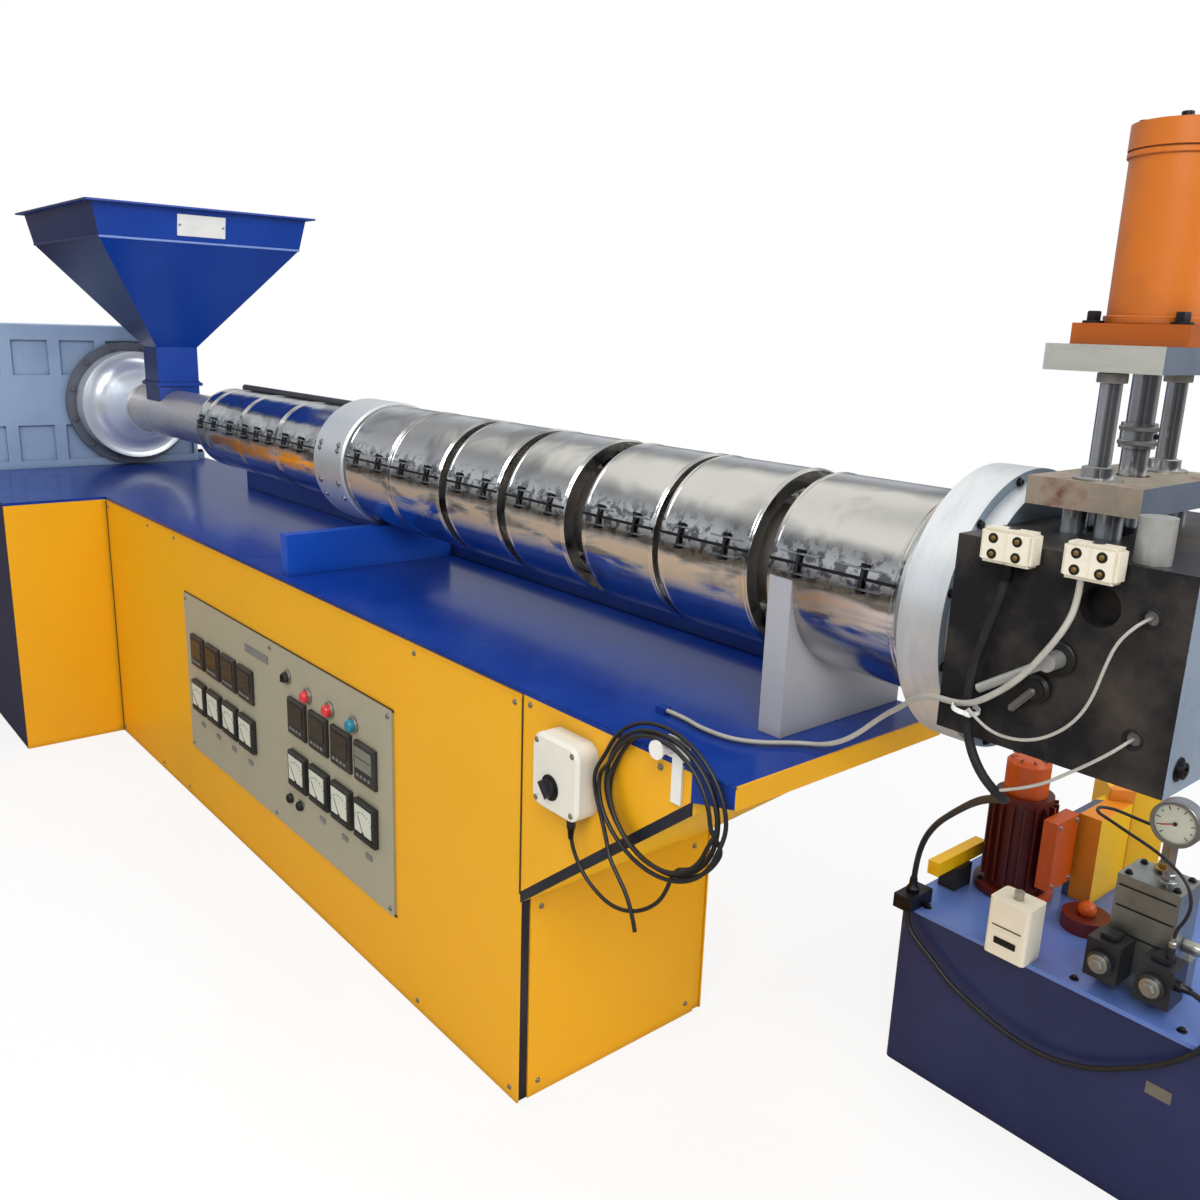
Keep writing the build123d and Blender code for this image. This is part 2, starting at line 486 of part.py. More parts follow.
with BuildPart() as hopper_body:
    for wall, mode in ((0, Mode.ADD), (2 * HOPPER_WALL, Mode.SUBTRACT)):
        with BuildSketch(Plane((THROAT_X, BARREL_Y, NECK_TOP))):
            Rectangle(NECK - wall, NECK - wall)
        with BuildSketch(Plane((THROAT_X, BARREL_Y, CONE_TOP))):
            Rectangle(HOPPER_L - 2 * HOPPER_TAPER - wall, HOPPER_W - 2 * HOPPER_TAPER - wall)
        loft(ruled=True, mode=mode)
        with BuildSketch(Plane((THROAT_X, BARREL_Y, CONE_TOP))):
            Rectangle(HOPPER_L - 2 * HOPPER_TAPER - wall, HOPPER_W - 2 * HOPPER_TAPER - wall)
        with BuildSketch(Plane((THROAT_X, BARREL_Y, HOPPER_TOP))):
            Rectangle(HOPPER_L - wall, HOPPER_W - wall)
        loft(ruled=True, mode=mode)
    with BuildSketch(Plane((THROAT_X, BARREL_Y, HOPPER_TOP))):
        Rectangle(HOPPER_L + 2 * RIM_OUT, HOPPER_W + 2 * RIM_OUT)
        Rectangle(HOPPER_L - 2 * HOPPER_WALL, HOPPER_W - 2 * HOPPER_WALL, mode=Mode.SUBTRACT)
    extrude(amount=RIM_T)
hopper_body.part.label = "hopper_body"
export_step(hopper_body.part, "parts/hopper_body.step")

# Die head
FLANGE_RIM_L, HEAD_FLANGE_R, CLAMP_FLANGE_R = 66.0, 205.0, 190.0
HUB_R = 137.0
BLOCK_X0 = BARREL_END
BLOCK_L, BLOCK_W = 286.0, 480.0
BLOCK_UNDER, BLOCK_ABOVE = 112.0, 142.0     # below and above the barrel axis
DIE_BORE_R = 40.0
BLOCK_Z0, BLOCK_TOP = BARREL_Z - BLOCK_UNDER, BARREL_Z + BLOCK_ABOVE
BLOCK_FRONT = BARREL_Y - BLOCK_W / 2
with BuildPart() as head_flange:
    for x0, x1, radius in (
            (HEAD_BAND_X1, FLANGE_X0, HUB_R),
            (FLANGE_X0, FLANGE_X0 + FLANGE_RIM_L, HEAD_FLANGE_R),
            (FLANGE_X0 + FLANGE_RIM_L, BLOCK_X0, CLAMP_FLANGE_R)):
        with BuildSketch(BARREL_PLANE.offset(x0)):
            Circle(radius)
            Circle(FEED_R, mode=Mode.SUBTRACT)
        extrude(amount=x1 - x0)
head_flange.part.label = "head_flange"
export_step(head_flange.part, "parts/head_flange.step")

# Gate that the ram moves up and down in the block
PRESS_X = 2085.0            # ram axis
GATE_T, GATE_W = 50.0, 140.0
GATE_CLEAR = 5.0
SLOT_FLOOR = 25.0
GATE_DROP = 30.0            # gate's top below the block's top when it is open
HOLE_R, HOLE_DEPTH = 9.0, 60.0
RECESS_R, RECESS_DEPTH = 24.0, 30.0
HOLE_HIGH, HOLE_LOW = (2232.0, 1212.0), (2234.0, 1071.5)
RECESS = (2176.0, 1213.0)
INTO_FACE = (-90, 0, 0)     # turns a cylinder so that it points into the front face
with BuildPart() as die_block:
    with Locations((BLOCK_X0, BARREL_Y, BLOCK_Z0)):
        Box(BLOCK_L, BLOCK_W, BLOCK_TOP - BLOCK_Z0, align=UP_RIGHT)
    with BuildSketch(BARREL_PLANE.offset(BLOCK_X0)):
        Circle(DIE_BORE_R)
    extrude(amount=BLOCK_L, mode=Mode.SUBTRACT)
    with Locations((PRESS_X, BARREL_Y, BLOCK_Z0 + SLOT_FLOOR)):
        Box(GATE_T + 2 * GATE_CLEAR, GATE_W + 2 * GATE_CLEAR, BLOCK_TOP - BLOCK_Z0,
            align=UP, mode=Mode.SUBTRACT)
    for x, z in (HOLE_HIGH, HOLE_LOW):
        with Locations(Location((x, BLOCK_FRONT, z), INTO_FACE)):
            Cylinder(HOLE_R, HOLE_DEPTH, align=UP, mode=Mode.SUBTRACT)
    with Locations(Location((RECESS[0], BLOCK_FRONT, RECESS[1]), INTO_FACE)):
        Cylinder(RECESS_R, RECESS_DEPTH, align=UP, mode=Mode.SUBTRACT)
die_block.part.label = "die_block"
export_step(die_block.part, "parts/die_block.step")

# Ram press above the block
ROD_R, ROD_CLEAR, GLAND_FIT = 17.0, 5.0, 0.3
PLATE_L, PLATE_W = 146.0, 260.0
LOWER_Z, LOWER_T = 1300.0, 36.0
UPPER_Z, UPPER_T = 1468.0, 32.0
COLUMN_R, NUT_R, NUT_H = 13.0, 20.0, 16.0
SHORT_R, SHORT_DX = 17.0, 22.0
COLUMN_DY = 95.0
with BuildPart() as press_plates:
    for z, thick in ((LOWER_Z, LOWER_T), (UPPER_Z, UPPER_T)):
        with Locations((PRESS_X, BARREL_Y, z)):
            Box(PLATE_L, PLATE_W, thick, align=UP)
            Cylinder(ROD_R + ROD_CLEAR, thick, align=UP, mode=Mode.SUBTRACT)
press_plates.part.label = "press_plates"
export_step(press_plates.part, "parts/press_plates.step")

with BuildPart() as press_columns:
    for dy in (-COLUMN_DY, COLUMN_DY):
        with Locations((PRESS_X, BARREL_Y + dy, LOWER_Z + LOWER_T)):
            Cylinder(COLUMN_R, UPPER_Z - LOWER_Z - LOWER_T, align=UP)
            Cylinder(NUT_R, NUT_H, align=UP)
        with Locations((PRESS_X - SHORT_DX, BARREL_Y + dy, BLOCK_TOP),
                       (PRESS_X + SHORT_DX, BARREL_Y + dy, BLOCK_TOP)):
            Cylinder(SHORT_R, LOWER_Z - BLOCK_TOP, align=UP)
press_columns.part.label = "press_columns"
export_step(press_columns.part, "parts/press_columns.step")

CYL_FLANGE, CYL_FLANGE_T = 144.0, 26.0
CYL_R, CYL_BORE_R, CYL_H, CYL_CAP, CYL_CAP_OUT = 58.0, 44.0, 235.0, 30.0, 3.0
PORT_Z, PORT_R, PORT_X1 = 1708.0, 14.0, 2162.0
CYL_Z = UPPER_Z + UPPER_T
BARREL_SEAT_Z = CYL_Z + CYL_FLANGE_T
with BuildPart() as hydraulic_cylinder:
    with Locations((PRESS_X, BARREL_Y, CYL_Z)):
        Box(CYL_FLANGE, CYL_FLANGE, CYL_FLANGE_T, align=UP)
    with Locations((PRESS_X, BARREL_Y, BARREL_SEAT_Z)):
        Cylinder(CYL_R, CYL_H, align=UP)
    with BuildSketch(Plane.YZ.offset(PRESS_X)):
        with Locations((BARREL_Y, PORT_Z)):
            Circle(PORT_R)
    extrude(amount=PORT_X1 - PRESS_X)
    with Locations((PRESS_X, BARREL_Y, BARREL_SEAT_Z)):
        Cylinder(CYL_BORE_R, CYL_H - CYL_CAP, align=UP, mode=Mode.SUBTRACT)
    with Locations((PRESS_X, BARREL_Y, CYL_Z)):
        Cylinder(ROD_R + GLAND_FIT, CYL_FLANGE_T, align=UP, mode=Mode.SUBTRACT)
    with Locations((PRESS_X, BARREL_Y, BARREL_SEAT_Z + CYL_H - CYL_CAP)):
        Cylinder(CYL_R + CYL_CAP_OUT, CYL_CAP, align=UP)
hydraulic_cylinder.part.label = "hydraulic_cylinder"
export_step(hydraulic_cylinder.part, "parts/hydraulic_cylinder.step")

COUPLING_R, COUPLING_H, COUPLING_Z = 22.0, 32.0, 1372.0
ROD_INSIDE = 60.0           # rod end above the cylinder's flange
with BuildPart() as piston_rod:
    with Locations((PRESS_X, BARREL_Y, COUPLING_Z)):
        Cylinder(COUPLING_R, COUPLING_H, align=UP)
        Cylinder(ROD_R, BARREL_SEAT_Z + ROD_INSIDE - COUPLING_Z, align=UP)
piston_rod.part.label = "piston_rod"
export_step(piston_rod.part, "parts/piston_rod.step")

GATE_Z0, GATE_TOP = BLOCK_Z0 + SLOT_FLOOR + GATE_CLEAR, BLOCK_TOP - GATE_DROP
with BuildPart() as gate_slide:
    with Locations((PRESS_X, BARREL_Y, GATE_Z0)):
        Box(GATE_T, GATE_W, GATE_TOP - GATE_Z0, align=UP)
    with BuildSketch(BARREL_PLANE.offset(PRESS_X - GATE_T)):
        Circle(DIE_BORE_R)
    extrude(amount=2 * GATE_T, mode=Mode.SUBTRACT)
    with Locations((PRESS_X, BARREL_Y, GATE_TOP)):
        Cylinder(ROD_R, COUPLING_Z - GATE_TOP, align=UP)
gate_slide.part.label = "gate_slide"
export_step(gate_slide.part, "parts/gate_slide.step")

# Ceramic terminal blocks and the sensor's fitting on the block's front
CERAMIC_D, CERAMIC_H, CERAMIC_Z0 = 28.0, 42.0, 1244.0
CERAMIC_XS = ((2035.0, 2101.0), (2137.0, 2200.0))
with BuildPart() as terminal_blocks:
    for x0, x1 in CERAMIC_XS:
        with Locations((x0, BLOCK_FRONT, CERAMIC_Z0)):
            Box(x1 - x0, CERAMIC_D, CERAMIC_H, align=(Align.MIN, Align.MAX, Align.MIN))
terminal_blocks.part.label = "terminal_blocks"
export_step(terminal_blocks.part, "parts/terminal_blocks.step")

PLUG_R, PLUG_SUNK = HOLE_R - 0.3, 6.0
BOSS_R, BOSS_L, BOSS_AT = 11.0, 31.0, (2138.0, 1142.0)
SLEEVE_R, SLEEVE_Y, SLEEVE_TO = 6.0, BLOCK_FRONT - 25.0, (2056.0, 1087.0)
CAN_R, CAN_H, CAN_AT = 20.0, 52.0, (2212.0, -110.0)
SLEEVE_FROM = Vector(BOSS_AT[0], SLEEVE_Y, BOSS_AT[1])
SLEEVE_RUN = Vector(SLEEVE_TO[0], SLEEVE_Y, SLEEVE_TO[1]) - SLEEVE_FROM
with BuildPart() as sensor_fitting:
    with Locations(Location((BOSS_AT[0], BLOCK_FRONT, BOSS_AT[1]), FRONT_LAID)):
        Cylinder(BOSS_R, BOSS_L, align=UP)
    with BuildSketch(Plane(origin=SLEEVE_FROM, z_dir=SLEEVE_RUN)):
        Circle(SLEEVE_R)
    extrude(amount=SLEEVE_RUN.length)
    for x, z in (HOLE_HIGH, HOLE_LOW):
        with Locations(Location((x, BLOCK_FRONT + PLUG_SUNK, z), INTO_FACE)):
            Cylinder(PLUG_R, HOLE_DEPTH - PLUG_SUNK, align=UP)
    with Locations((*CAN_AT, BLOCK_TOP)):
        Cylinder(CAN_R, CAN_H, align=UP)
sensor_fitting.part.label = "sensor_fitting"
export_step(sensor_fitting.part, "parts/sensor_fitting.step")

# Oil pump unit: the tank with its lid, and a clamp on the lid's front corner
TANK_X0, TANK_L = 1600.0, 760.0
TANK_Y0, TANK_W = 460.0, 560.0
TANK_H = 370.0
TANK_R = 14.0
LID_T, LID_OUT = 10.0, 6.0
CORNER_CLAMP = (1602.0, 426.0, 40.0, 78.0, 30.0)
with BuildPart() as oil_tank:
    with Locations((TANK_X0, TANK_Y0, 0)):
        Box(TANK_L, TANK_W, TANK_H - LID_T, align=CORNER)
    with Locations((TANK_X0 - LID_OUT, TANK_Y0 - LID_OUT, TANK_H - LID_T)):
        Box(TANK_L + 2 * LID_OUT, TANK_W + 2 * LID_OUT, LID_T, align=CORNER)
    fillet(oil_tank.edges().filter_by(Axis.Z), radius=TANK_R)
    with Locations((*CORNER_CLAMP[:2], TANK_H)):
        Box(*CORNER_CLAMP[2:], align=CORNER)
oil_tank.part.label = "oil_tank"
export_step(oil_tank.part, "parts/oil_tank.step")

MOTOR_X, MOTOR_Y, MOTOR_R, MOTOR_H = 1712.0, 700.0, 58.0, 204.0
MOTOR_FLANGE_R, MOTOR_FLANGE_T = 80.0, 16.0
FIN_OUT, FIN_ROOT, FIN_T, FIN_COUNT, FIN_INSET = 10.0, 4.0, 4.0, 18, 12.0
BOX_TERM = (30.0, 90.0, 150.0)      # terminal box, along X, Y and Z
BOX_TERM_UP = 46.0
with BuildPart() as pump_motor:
    with Locations((MOTOR_X, MOTOR_Y, TANK_H)):
        Cylinder(MOTOR_FLANGE_R, MOTOR_FLANGE_T, align=UP)
        Cylinder(MOTOR_R, MOTOR_FLANGE_T + MOTOR_H, align=UP)
    with Locations((MOTOR_X, MOTOR_Y, TANK_H + MOTOR_FLANGE_T + FIN_INSET)):
        with PolarLocations(MOTOR_R - FIN_ROOT, FIN_COUNT):
            Box(FIN_OUT + FIN_ROOT, FIN_T, MOTOR_H - 2 * FIN_INSET, align=UP_RIGHT)
    with Locations((MOTOR_X + MOTOR_R + FIN_OUT, MOTOR_Y, TANK_H + BOX_TERM_UP)):
        Box(*BOX_TERM, align=UP_RIGHT)
pump_motor.part.label = "pump_motor"
export_step(pump_motor.part, "parts/pump_motor.step")

COWL_R, COWL_H, COWL_BEVEL = 44.0, 78.0, 10.0
with BuildPart() as motor_cowl:
    with Locations((MOTOR_X, MOTOR_Y, TANK_H + MOTOR_FLANGE_T + MOTOR_H)):
        Cylinder(COWL_R, COWL_H, align=UP)
    chamfer(motor_cowl.faces().sort_by(Axis.Z)[-1].edges(), COWL_BEVEL)
motor_cowl.part.label = "motor_cowl"
export_step(motor_cowl.part, "parts/motor_cowl.step")

FILLER_X, FILLER_Y, FILLER_R, FILLER_H, FILLER_BALL_R = 1886.0, 668.0, 46.0, 30.0, 18.0
with BuildPart() as filler_cap:
    with Locations((FILLER_X, FILLER_Y, TANK_H)):
        Cylinder(FILLER_R, FILLER_H, align=UP)
    with Locations((FILLER_X, FILLER_Y, TANK_H + FILLER_H + FILLER_BALL_R / 2)):
        Sphere(FILLER_BALL_R)
filler_cap.part.label = "filler_cap"
export_step(filler_cap.part, "parts/filler_cap.step")

# Cooler: a finned core with a box beside it that stands turned on the lid
CORE = (60.0, 140.0, 190.0)
CORE_X, CORE_Y = 1790.0, 760.0
COOLER_BOX = (115.0, 120.0, 215.0)
COOLER_AT, COOLER_TURN = (1812.0, 876.0), 40.0
with BuildPart() as oil_cooler:
    with Locations((CORE_X, CORE_Y, TANK_H)):
        Box(*CORE, align=CORNER)
    with Locations(Location((*COOLER_AT, TANK_H), (0, 0, COOLER_TURN))):
        Box(*COOLER_BOX, align=CORNER)
oil_cooler.part.label = "oil_cooler"
export_step(oil_cooler.part, "parts/oil_cooler.step")

VALVE_X0, VALVE_Y0 = 1985.0, 530.0
VALVE_BASE = (130.0, 100.0, 60.0)
VALVE_BODY = (110.0, 90.0, 210.0)
POST_X, POST_Y, POST_R, POST_H, POST_ARM_Z = 2035.0, 602.0, 9.0, 90.0, 659.0
ARM_X0, ARM_R = 2020.0, 6.0
VALVE_TOP = TANK_H + VALVE_BODY[2]
with BuildPart() as valve_block:
    with Locations((VALVE_X0 - (VALVE_BASE[0] - VALVE_BODY[0]) / 2, VALVE_Y0, TANK_H)):
        Box(*VALVE_BASE, align=CORNER)
    with Locations((VALVE_X0, VALVE_Y0, TANK_H)):
        Box(*VALVE_BODY, align=CORNER)
    with Locations((POST_X, POST_Y, VALVE_TOP)):
        Cylinder(POST_R, POST_H, align=UP)
    with BuildSketch(Plane.YZ.offset(ARM_X0)):
        with Locations((POST_Y, POST_ARM_Z)):
            Circle(ARM_R)
    extrude(amount=POST_X - ARM_X0)
valve_block.part.label = "valve_block"
export_step(valve_block.part, "parts/valve_block.step")

COIL_BOX = (60.0, 60.0, 75.0)
COIL_BOX_XS, COIL_BOX_UP = (1975.0, 2065.0), 25.0
NIPPLE_X, NIPPLE_R, NIPPLE_H = 2104.0, 7.0, 30.0
COIL_FRONT = VALVE_Y0 - COIL_BOX[1]
COIL_TOP = TANK_H + COIL_BOX_UP + COIL_BOX[2]
with BuildPart() as solenoid_valve:
    for x in COIL_BOX_XS:
        with Locations((x, COIL_FRONT, TANK_H + COIL_BOX_UP)):
            Box(*COIL_BOX, align=CORNER)
    with Locations((NIPPLE_X, VALVE_Y0 - COIL_BOX[1] / 2, COIL_TOP)):
        Cylinder(NIPPLE_R, NIPPLE_H, align=UP)
solenoid_valve.part.label = "solenoid_valve"
export_step(solenoid_valve.part, "parts/solenoid_valve.step")

GAUGE_R, GAUGE_T, GAUGE_Z, STEM_R = 42.0, 26.0, 703.0, 7.0
GAUGE_X, GAUGE_Y = 2062.0, 550.0
with BuildPart() as pressure_gauge:
    with Locations((GAUGE_X, GAUGE_Y, VALVE_TOP)):
        Cylinder(STEM_R, GAUGE_Z - VALVE_TOP, align=UP)
    with Locations(Location((GAUGE_X, GAUGE_Y + GAUGE_T / 2, GAUGE_Z), FRONT_LAID)):
        Cylinder(GAUGE_R, GAUGE_T, align=UP)
pressure_gauge.part.label = "pressure_gauge"
export_step(pressure_gauge.part, "parts/pressure_gauge.step")

STARTER = (82.0, 65.0, 114.0)
STARTER_X0, STARTER_Y0, STARTER_R = 1803.0, 430.0, 8.0
STARTER_GLAND_R, STARTER_GLAND_H = 9.0, 16.0
with BuildPart() as starter_box:
    with Locations((STARTER_X0, STARTER_Y0, TANK_H)):
        Box(*STARTER, align=CORNER)
    fillet(starter_box.edges().filter_by(Axis.Z), radius=STARTER_R)
    with Locations((STARTER_X0 + STARTER[0] / 2, STARTER_Y0 + STARTER[1] / 2, TANK_H + STARTER[2])):
        Cylinder(STARTER_GLAND_R, STARTER_GLAND_H, align=UP)
starter_box.part.label = "starter_box"
export_step(starter_box.part, "parts/starter_box.step")

RAIL = (25.0, 180.0, 30.0)
RAIL_FOOT = (40.0, 60.0, 50.0)
RAIL_X0, RAIL_Y0 = 1615.0, 520.0
with BuildPart() as side_rail:
    with Locations((RAIL_X0 + RAIL[0] / 2, RAIL_Y0 + RAIL[1] / 2, TANK_H)):
        Box(*RAIL_FOOT, align=UP)
    with Locations((RAIL_X0, RAIL_Y0, TANK_H + RAIL_FOOT[2])):
        Box(*RAIL, align=CORNER)
side_rail.part.label = "side_rail"
export_step(side_rail.part, "parts/side_rail.step")

# Spare cable, hung as one flat coil
COIL_OUTER, COIL_OUTER_AT = (149.5, 126.5), (1611.5, 799.5)
COIL_INNER, COIL_INNER_AT = (108.0, 102.0), (1622.0, 798.0)
COIL_BACK_GAP, COIL_T = 4.0, 24.0
COIL_BACK = CAB_FRONT - COIL_BACK_GAP
with BuildPart() as switch_cable_coil:
    with BuildSketch(Plane.XZ.offset(-COIL_BACK)):
        with Locations(COIL_OUTER_AT):
            Ellipse(*COIL_OUTER)
        with Locations(COIL_INNER_AT):
            Ellipse(*COIL_INNER, mode=Mode.SUBTRACT)
    extrude(amount=COIL_T)
switch_cable_coil.part.label = "switch_cable_coil"
export_step(switch_cable_coil.part, "parts/switch_cable_coil.step")


# Cords, each as straight runs joined by tangent arcs
def cord_tube(name, points, diameter):
    """Sweep a round cord along its points, and export it under its name."""
    places = [Vector(*p) for p in points]
    radii = [0.45 * min((b - a).length, (c - b).length)
             / tan(radians((b - a).get_angle(c - b) / 2))
             for a, b, c in zip(places, places[1:], places[2:])]
    with BuildPart() as tube:
        with BuildLine() as path:
            FilletPolyline(*places, radius=radii)
        with BuildSketch(Plane(origin=places[0], z_dir=places[1] - places[0])):
            Circle(diameter / 2)
        sweep(path=path.wires()[0])
    tube.part.label = name
    export_step(tube.part, f"parts/{name}.step")
    section = pi * diameter ** 2 / 4
    print(f"{name}: {len(tube.part.solids())} solid, radii {min(radii):.0f} to {max(radii):.0f},"
          f" {min(radii) / diameter:.1f} diameters, length {path.wires()[0].length:.0f},"
          f" volume share {tube.part.volume / (section * path.wires()[0].length):.4f}")


SWITCH_CABLE_D = 7.0
cord_tube("switch_cable_loop", [
    (1413, -278.5, 677), (1413, -278.5, 655), (1424, -276, 625), (1447, -274, 598),
    (1478, -272, 581), (1510, -272, 574), (1544, -272, 578), (1580, -272, 593),
    (1614, -272, 618), (1640, -272, 648), (1647, -272, 675)], SWITCH_CABLE_D)
cord_tube("switch_cable_tail", [
    (1506, -277, 706.4), (1510, -281, 688), (1521, -285, 668), (1544, -287, 648),
    (1567, -287, 625), (1583, -287, 596), (1592, -287, 568)], SWITCH_CABLE_D)

DECK_LEAD_D = 8.0
cord_tube("deck_leads", [
    (1484, -134, 877), (1527, -134, 877), (1573, -145, 877), (1635, -141, 877),
    (1674, -114, 877), (1711, -62, 877), (1745, -45, 880), (1793, -45, 907),
    (1845, -45, 960), (1894, -82, 995), (1938, -120, 1028), (1976, -140, 1050),
    (2044, -172, 1062), (2084, -188, 1088), (2119, -188, 1121), (2144, -186, 1160),
    (2156, -172, 1190), (2158, -158, 1216), (2158, -158, 1244)], DECK_LEAD_D)

SENSOR_LEAD_D = 4.0
cord_tube("sensor_lead_upper", [
    (2232, -134, 1212), (2232, -147, 1212), (2224, -160, 1203), (2211, -166, 1183),
    (2203, -168, 1152), (2196, -168, 1118), (2184, -168, 1089), (2165, -170, 1065),
    (2137, -174, 1046), (2103, -178, 1040), (2074, -181, 1048), (2055, -182, 1064)],
    SENSOR_LEAD_D)
cord_tube("sensor_lead_lower", [
    (2234, -134, 1071.5), (2234, -147, 1071.5), (2226, -160, 1061), (2208, -165, 1043),
    (2182, -165, 1020), (2155, -165, 997), (2127, -165, 980), (2101, -165, 968)],
    SENSOR_LEAD_D)

HEAD_CABLE_D = 12.0
cord_tube("head_cable", [
    (2068, -156, 1244), (2068, -156, 1214), (2056, -157, 1168), (2042, -158, 1115),
    (2039, -158, 1060), (2046, -156, 1012), (2064, -152, 976), (2082, -138, 950),
    (2080, -105, 930), (2052, -62, 910), (1985, 20, 862), (1914, 118, 802),
    (1850, 210, 745), (1775, 300, 676), (1697, 390, 600), (1645, 440, 530),
    (1620, 464, 456), (1620, 464, 400)], HEAD_CABLE_D)
TANK_CABLE_D = 10.0
cord_tube("tank_cable", [
    (1628, 441, 370), (1628, 441, 345), (1642, 440, 322), (1670, 440, 303),
    (1702, 440, 283), (1740, 440, 256), (1785, 440, 240), (1828, 440, 226), (1880, 440, 215),
    (1939, 440, 212), (1988, 440, 223), (2033, 440, 240), (2078, 440, 268),
    (2139, 440, 312), (2174, 440, 349), (2196, 441, 378), (2201, 450, 410),
    (2186, 472, 434), (2158, 490, 440), (2125, 490, 440)], TANK_CABLE_D)

HOSE_D, GAUGE_HOSE_D = 18.0, 6.0
cord_tube("hydraulic_hose", [
    (2095, 580, 470), (2175, 580, 470), (2245, 566, 515), (2300, 520, 620),
    (2335, 440, 790), (2352, 330, 1030), (2350, 230, 1290), (2336, 160, 1500),
    (2326, 120, 1602), (2292, 103, 1672), (2240, 100, 1708), (2162, 100, 1708)], HOSE_D)
cord_tube("gauge_hose", [
    (2020, 602, 659), (1992, 602, 659), (1962, 600, 662), (1934, 596, 666),
    (1914, 576, 669), (1922, 552, 668), (1952, 545, 664), (1980, 538, 659),
    (2013, 530, 654), (2046, 519, 650), (2080, 505, 642), (2110, 498, 626),
    (2124, 496, 592), (2118, 498, 558),
    (2104, 500, 530), (2104, 500, 500)], GAUGE_HOSE_D)
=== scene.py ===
"""Looks of a plastic extruder: finishes, cords, fittings, light and the photograph's camera."""
import logging
from dataclasses import dataclass
from enum import Enum
from itertools import product
from math import cos, pi, radians, sin, tau

import bmesh
import bpy
from mathutils import Matrix, Vector

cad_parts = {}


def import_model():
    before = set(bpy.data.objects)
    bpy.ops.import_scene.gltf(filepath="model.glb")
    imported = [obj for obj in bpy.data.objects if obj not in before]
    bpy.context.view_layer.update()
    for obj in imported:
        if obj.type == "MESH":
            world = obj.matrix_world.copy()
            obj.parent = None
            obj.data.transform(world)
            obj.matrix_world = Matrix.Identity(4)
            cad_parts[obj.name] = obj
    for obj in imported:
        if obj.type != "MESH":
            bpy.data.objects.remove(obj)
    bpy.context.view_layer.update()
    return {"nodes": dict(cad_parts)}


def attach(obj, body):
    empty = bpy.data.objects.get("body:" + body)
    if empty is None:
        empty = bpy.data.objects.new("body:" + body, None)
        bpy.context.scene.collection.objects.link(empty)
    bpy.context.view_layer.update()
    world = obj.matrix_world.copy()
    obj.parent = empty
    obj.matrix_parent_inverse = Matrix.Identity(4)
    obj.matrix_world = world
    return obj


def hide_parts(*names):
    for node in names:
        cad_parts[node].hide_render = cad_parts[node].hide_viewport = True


LOG = logging.getLogger("extruder")
MM = 0.001

# The barrel's axis, in millimetres
AXIS_Y, AXIS_Z = 100.0, 1125.0

# Directions
FRONT, END, UP = (0, -1, 0), (1, 0, 0), (0, 0, 1)

# Short names for type hints
Point = Vector | tuple
Socket = bpy.types.NodeSocket
Input = Socket | float | tuple


class Body(str, Enum):
    """Bodies of the frame that a piece can ride on."""

    MACHINE = "machine"
    GATE = "gate"


class Surface(Enum):
    """Families of finish, each with its own node recipe."""

    PAINT = "paint"
    METAL = "metal"
    PLAIN = "plain"
    RUSTY = "rusty"
    CHROME = "chrome"


PAINT, METAL, PLAIN, RUSTY, CHROME = Surface


def srgb(red: float, green: float, blue: float) -> tuple:
    """Turn a colour as seen on a screen into a linear one.

    Args:
        red: Red, 0 to 255.
        green: Green, 0 to 255.
        blue: Blue, 0 to 255.

    Returns:
        The linear colour with an alpha of 1.
    """
    def linear(value: float) -> float:
        """Turn one channel into a linear one."""
        share = value / 255
        return share / 12.92 if share <= 0.04045 else ((share + 0.055) / 1.055) ** 2.4

    return linear(red), linear(green), linear(blue), 1.0


@dataclass(frozen=True)
class Finish:
    """What a surface looks like.

    Args:
        name: Material's name.
        surface: Family of finish.
        colour: Main colour, as red, green and blue of 0 to 255.
        second: Worn, tinted or rusty colour that shows in places.
        roughness: Roughness of the clean surface.
        spread: How strongly the second colour comes in, 0 to 1.
        scale: Size of the pattern, as repeats in a metre.
        grain: Stretch of the pattern along X, Y and Z.
        bump: Height of the fine relief.
        coat: Clear coat on top.
        other: Name of the finish past the split, if the node has two.
        split: Plane of the split, as a normal and a distance in metres.
        by_facing: Whether the split goes by where the surface faces, not by its place.
        shine: Strength of the reflection on a finish that isn't metal.
        metal: How metallic a metal finish is.
    """

    name: str
    surface: Surface
    colour: tuple
    second: tuple
    roughness: float = 0.4
    spread: float = 0.3
    scale: float = 6.0
    grain: tuple = (1.0, 1.0, 1.0)
    bump: float = 0.1
    coat: float = 0.0
    other: str = ""
    split: tuple = ()
    by_facing: bool = False
    shine: float = 0.5
    metal: float = 0.95


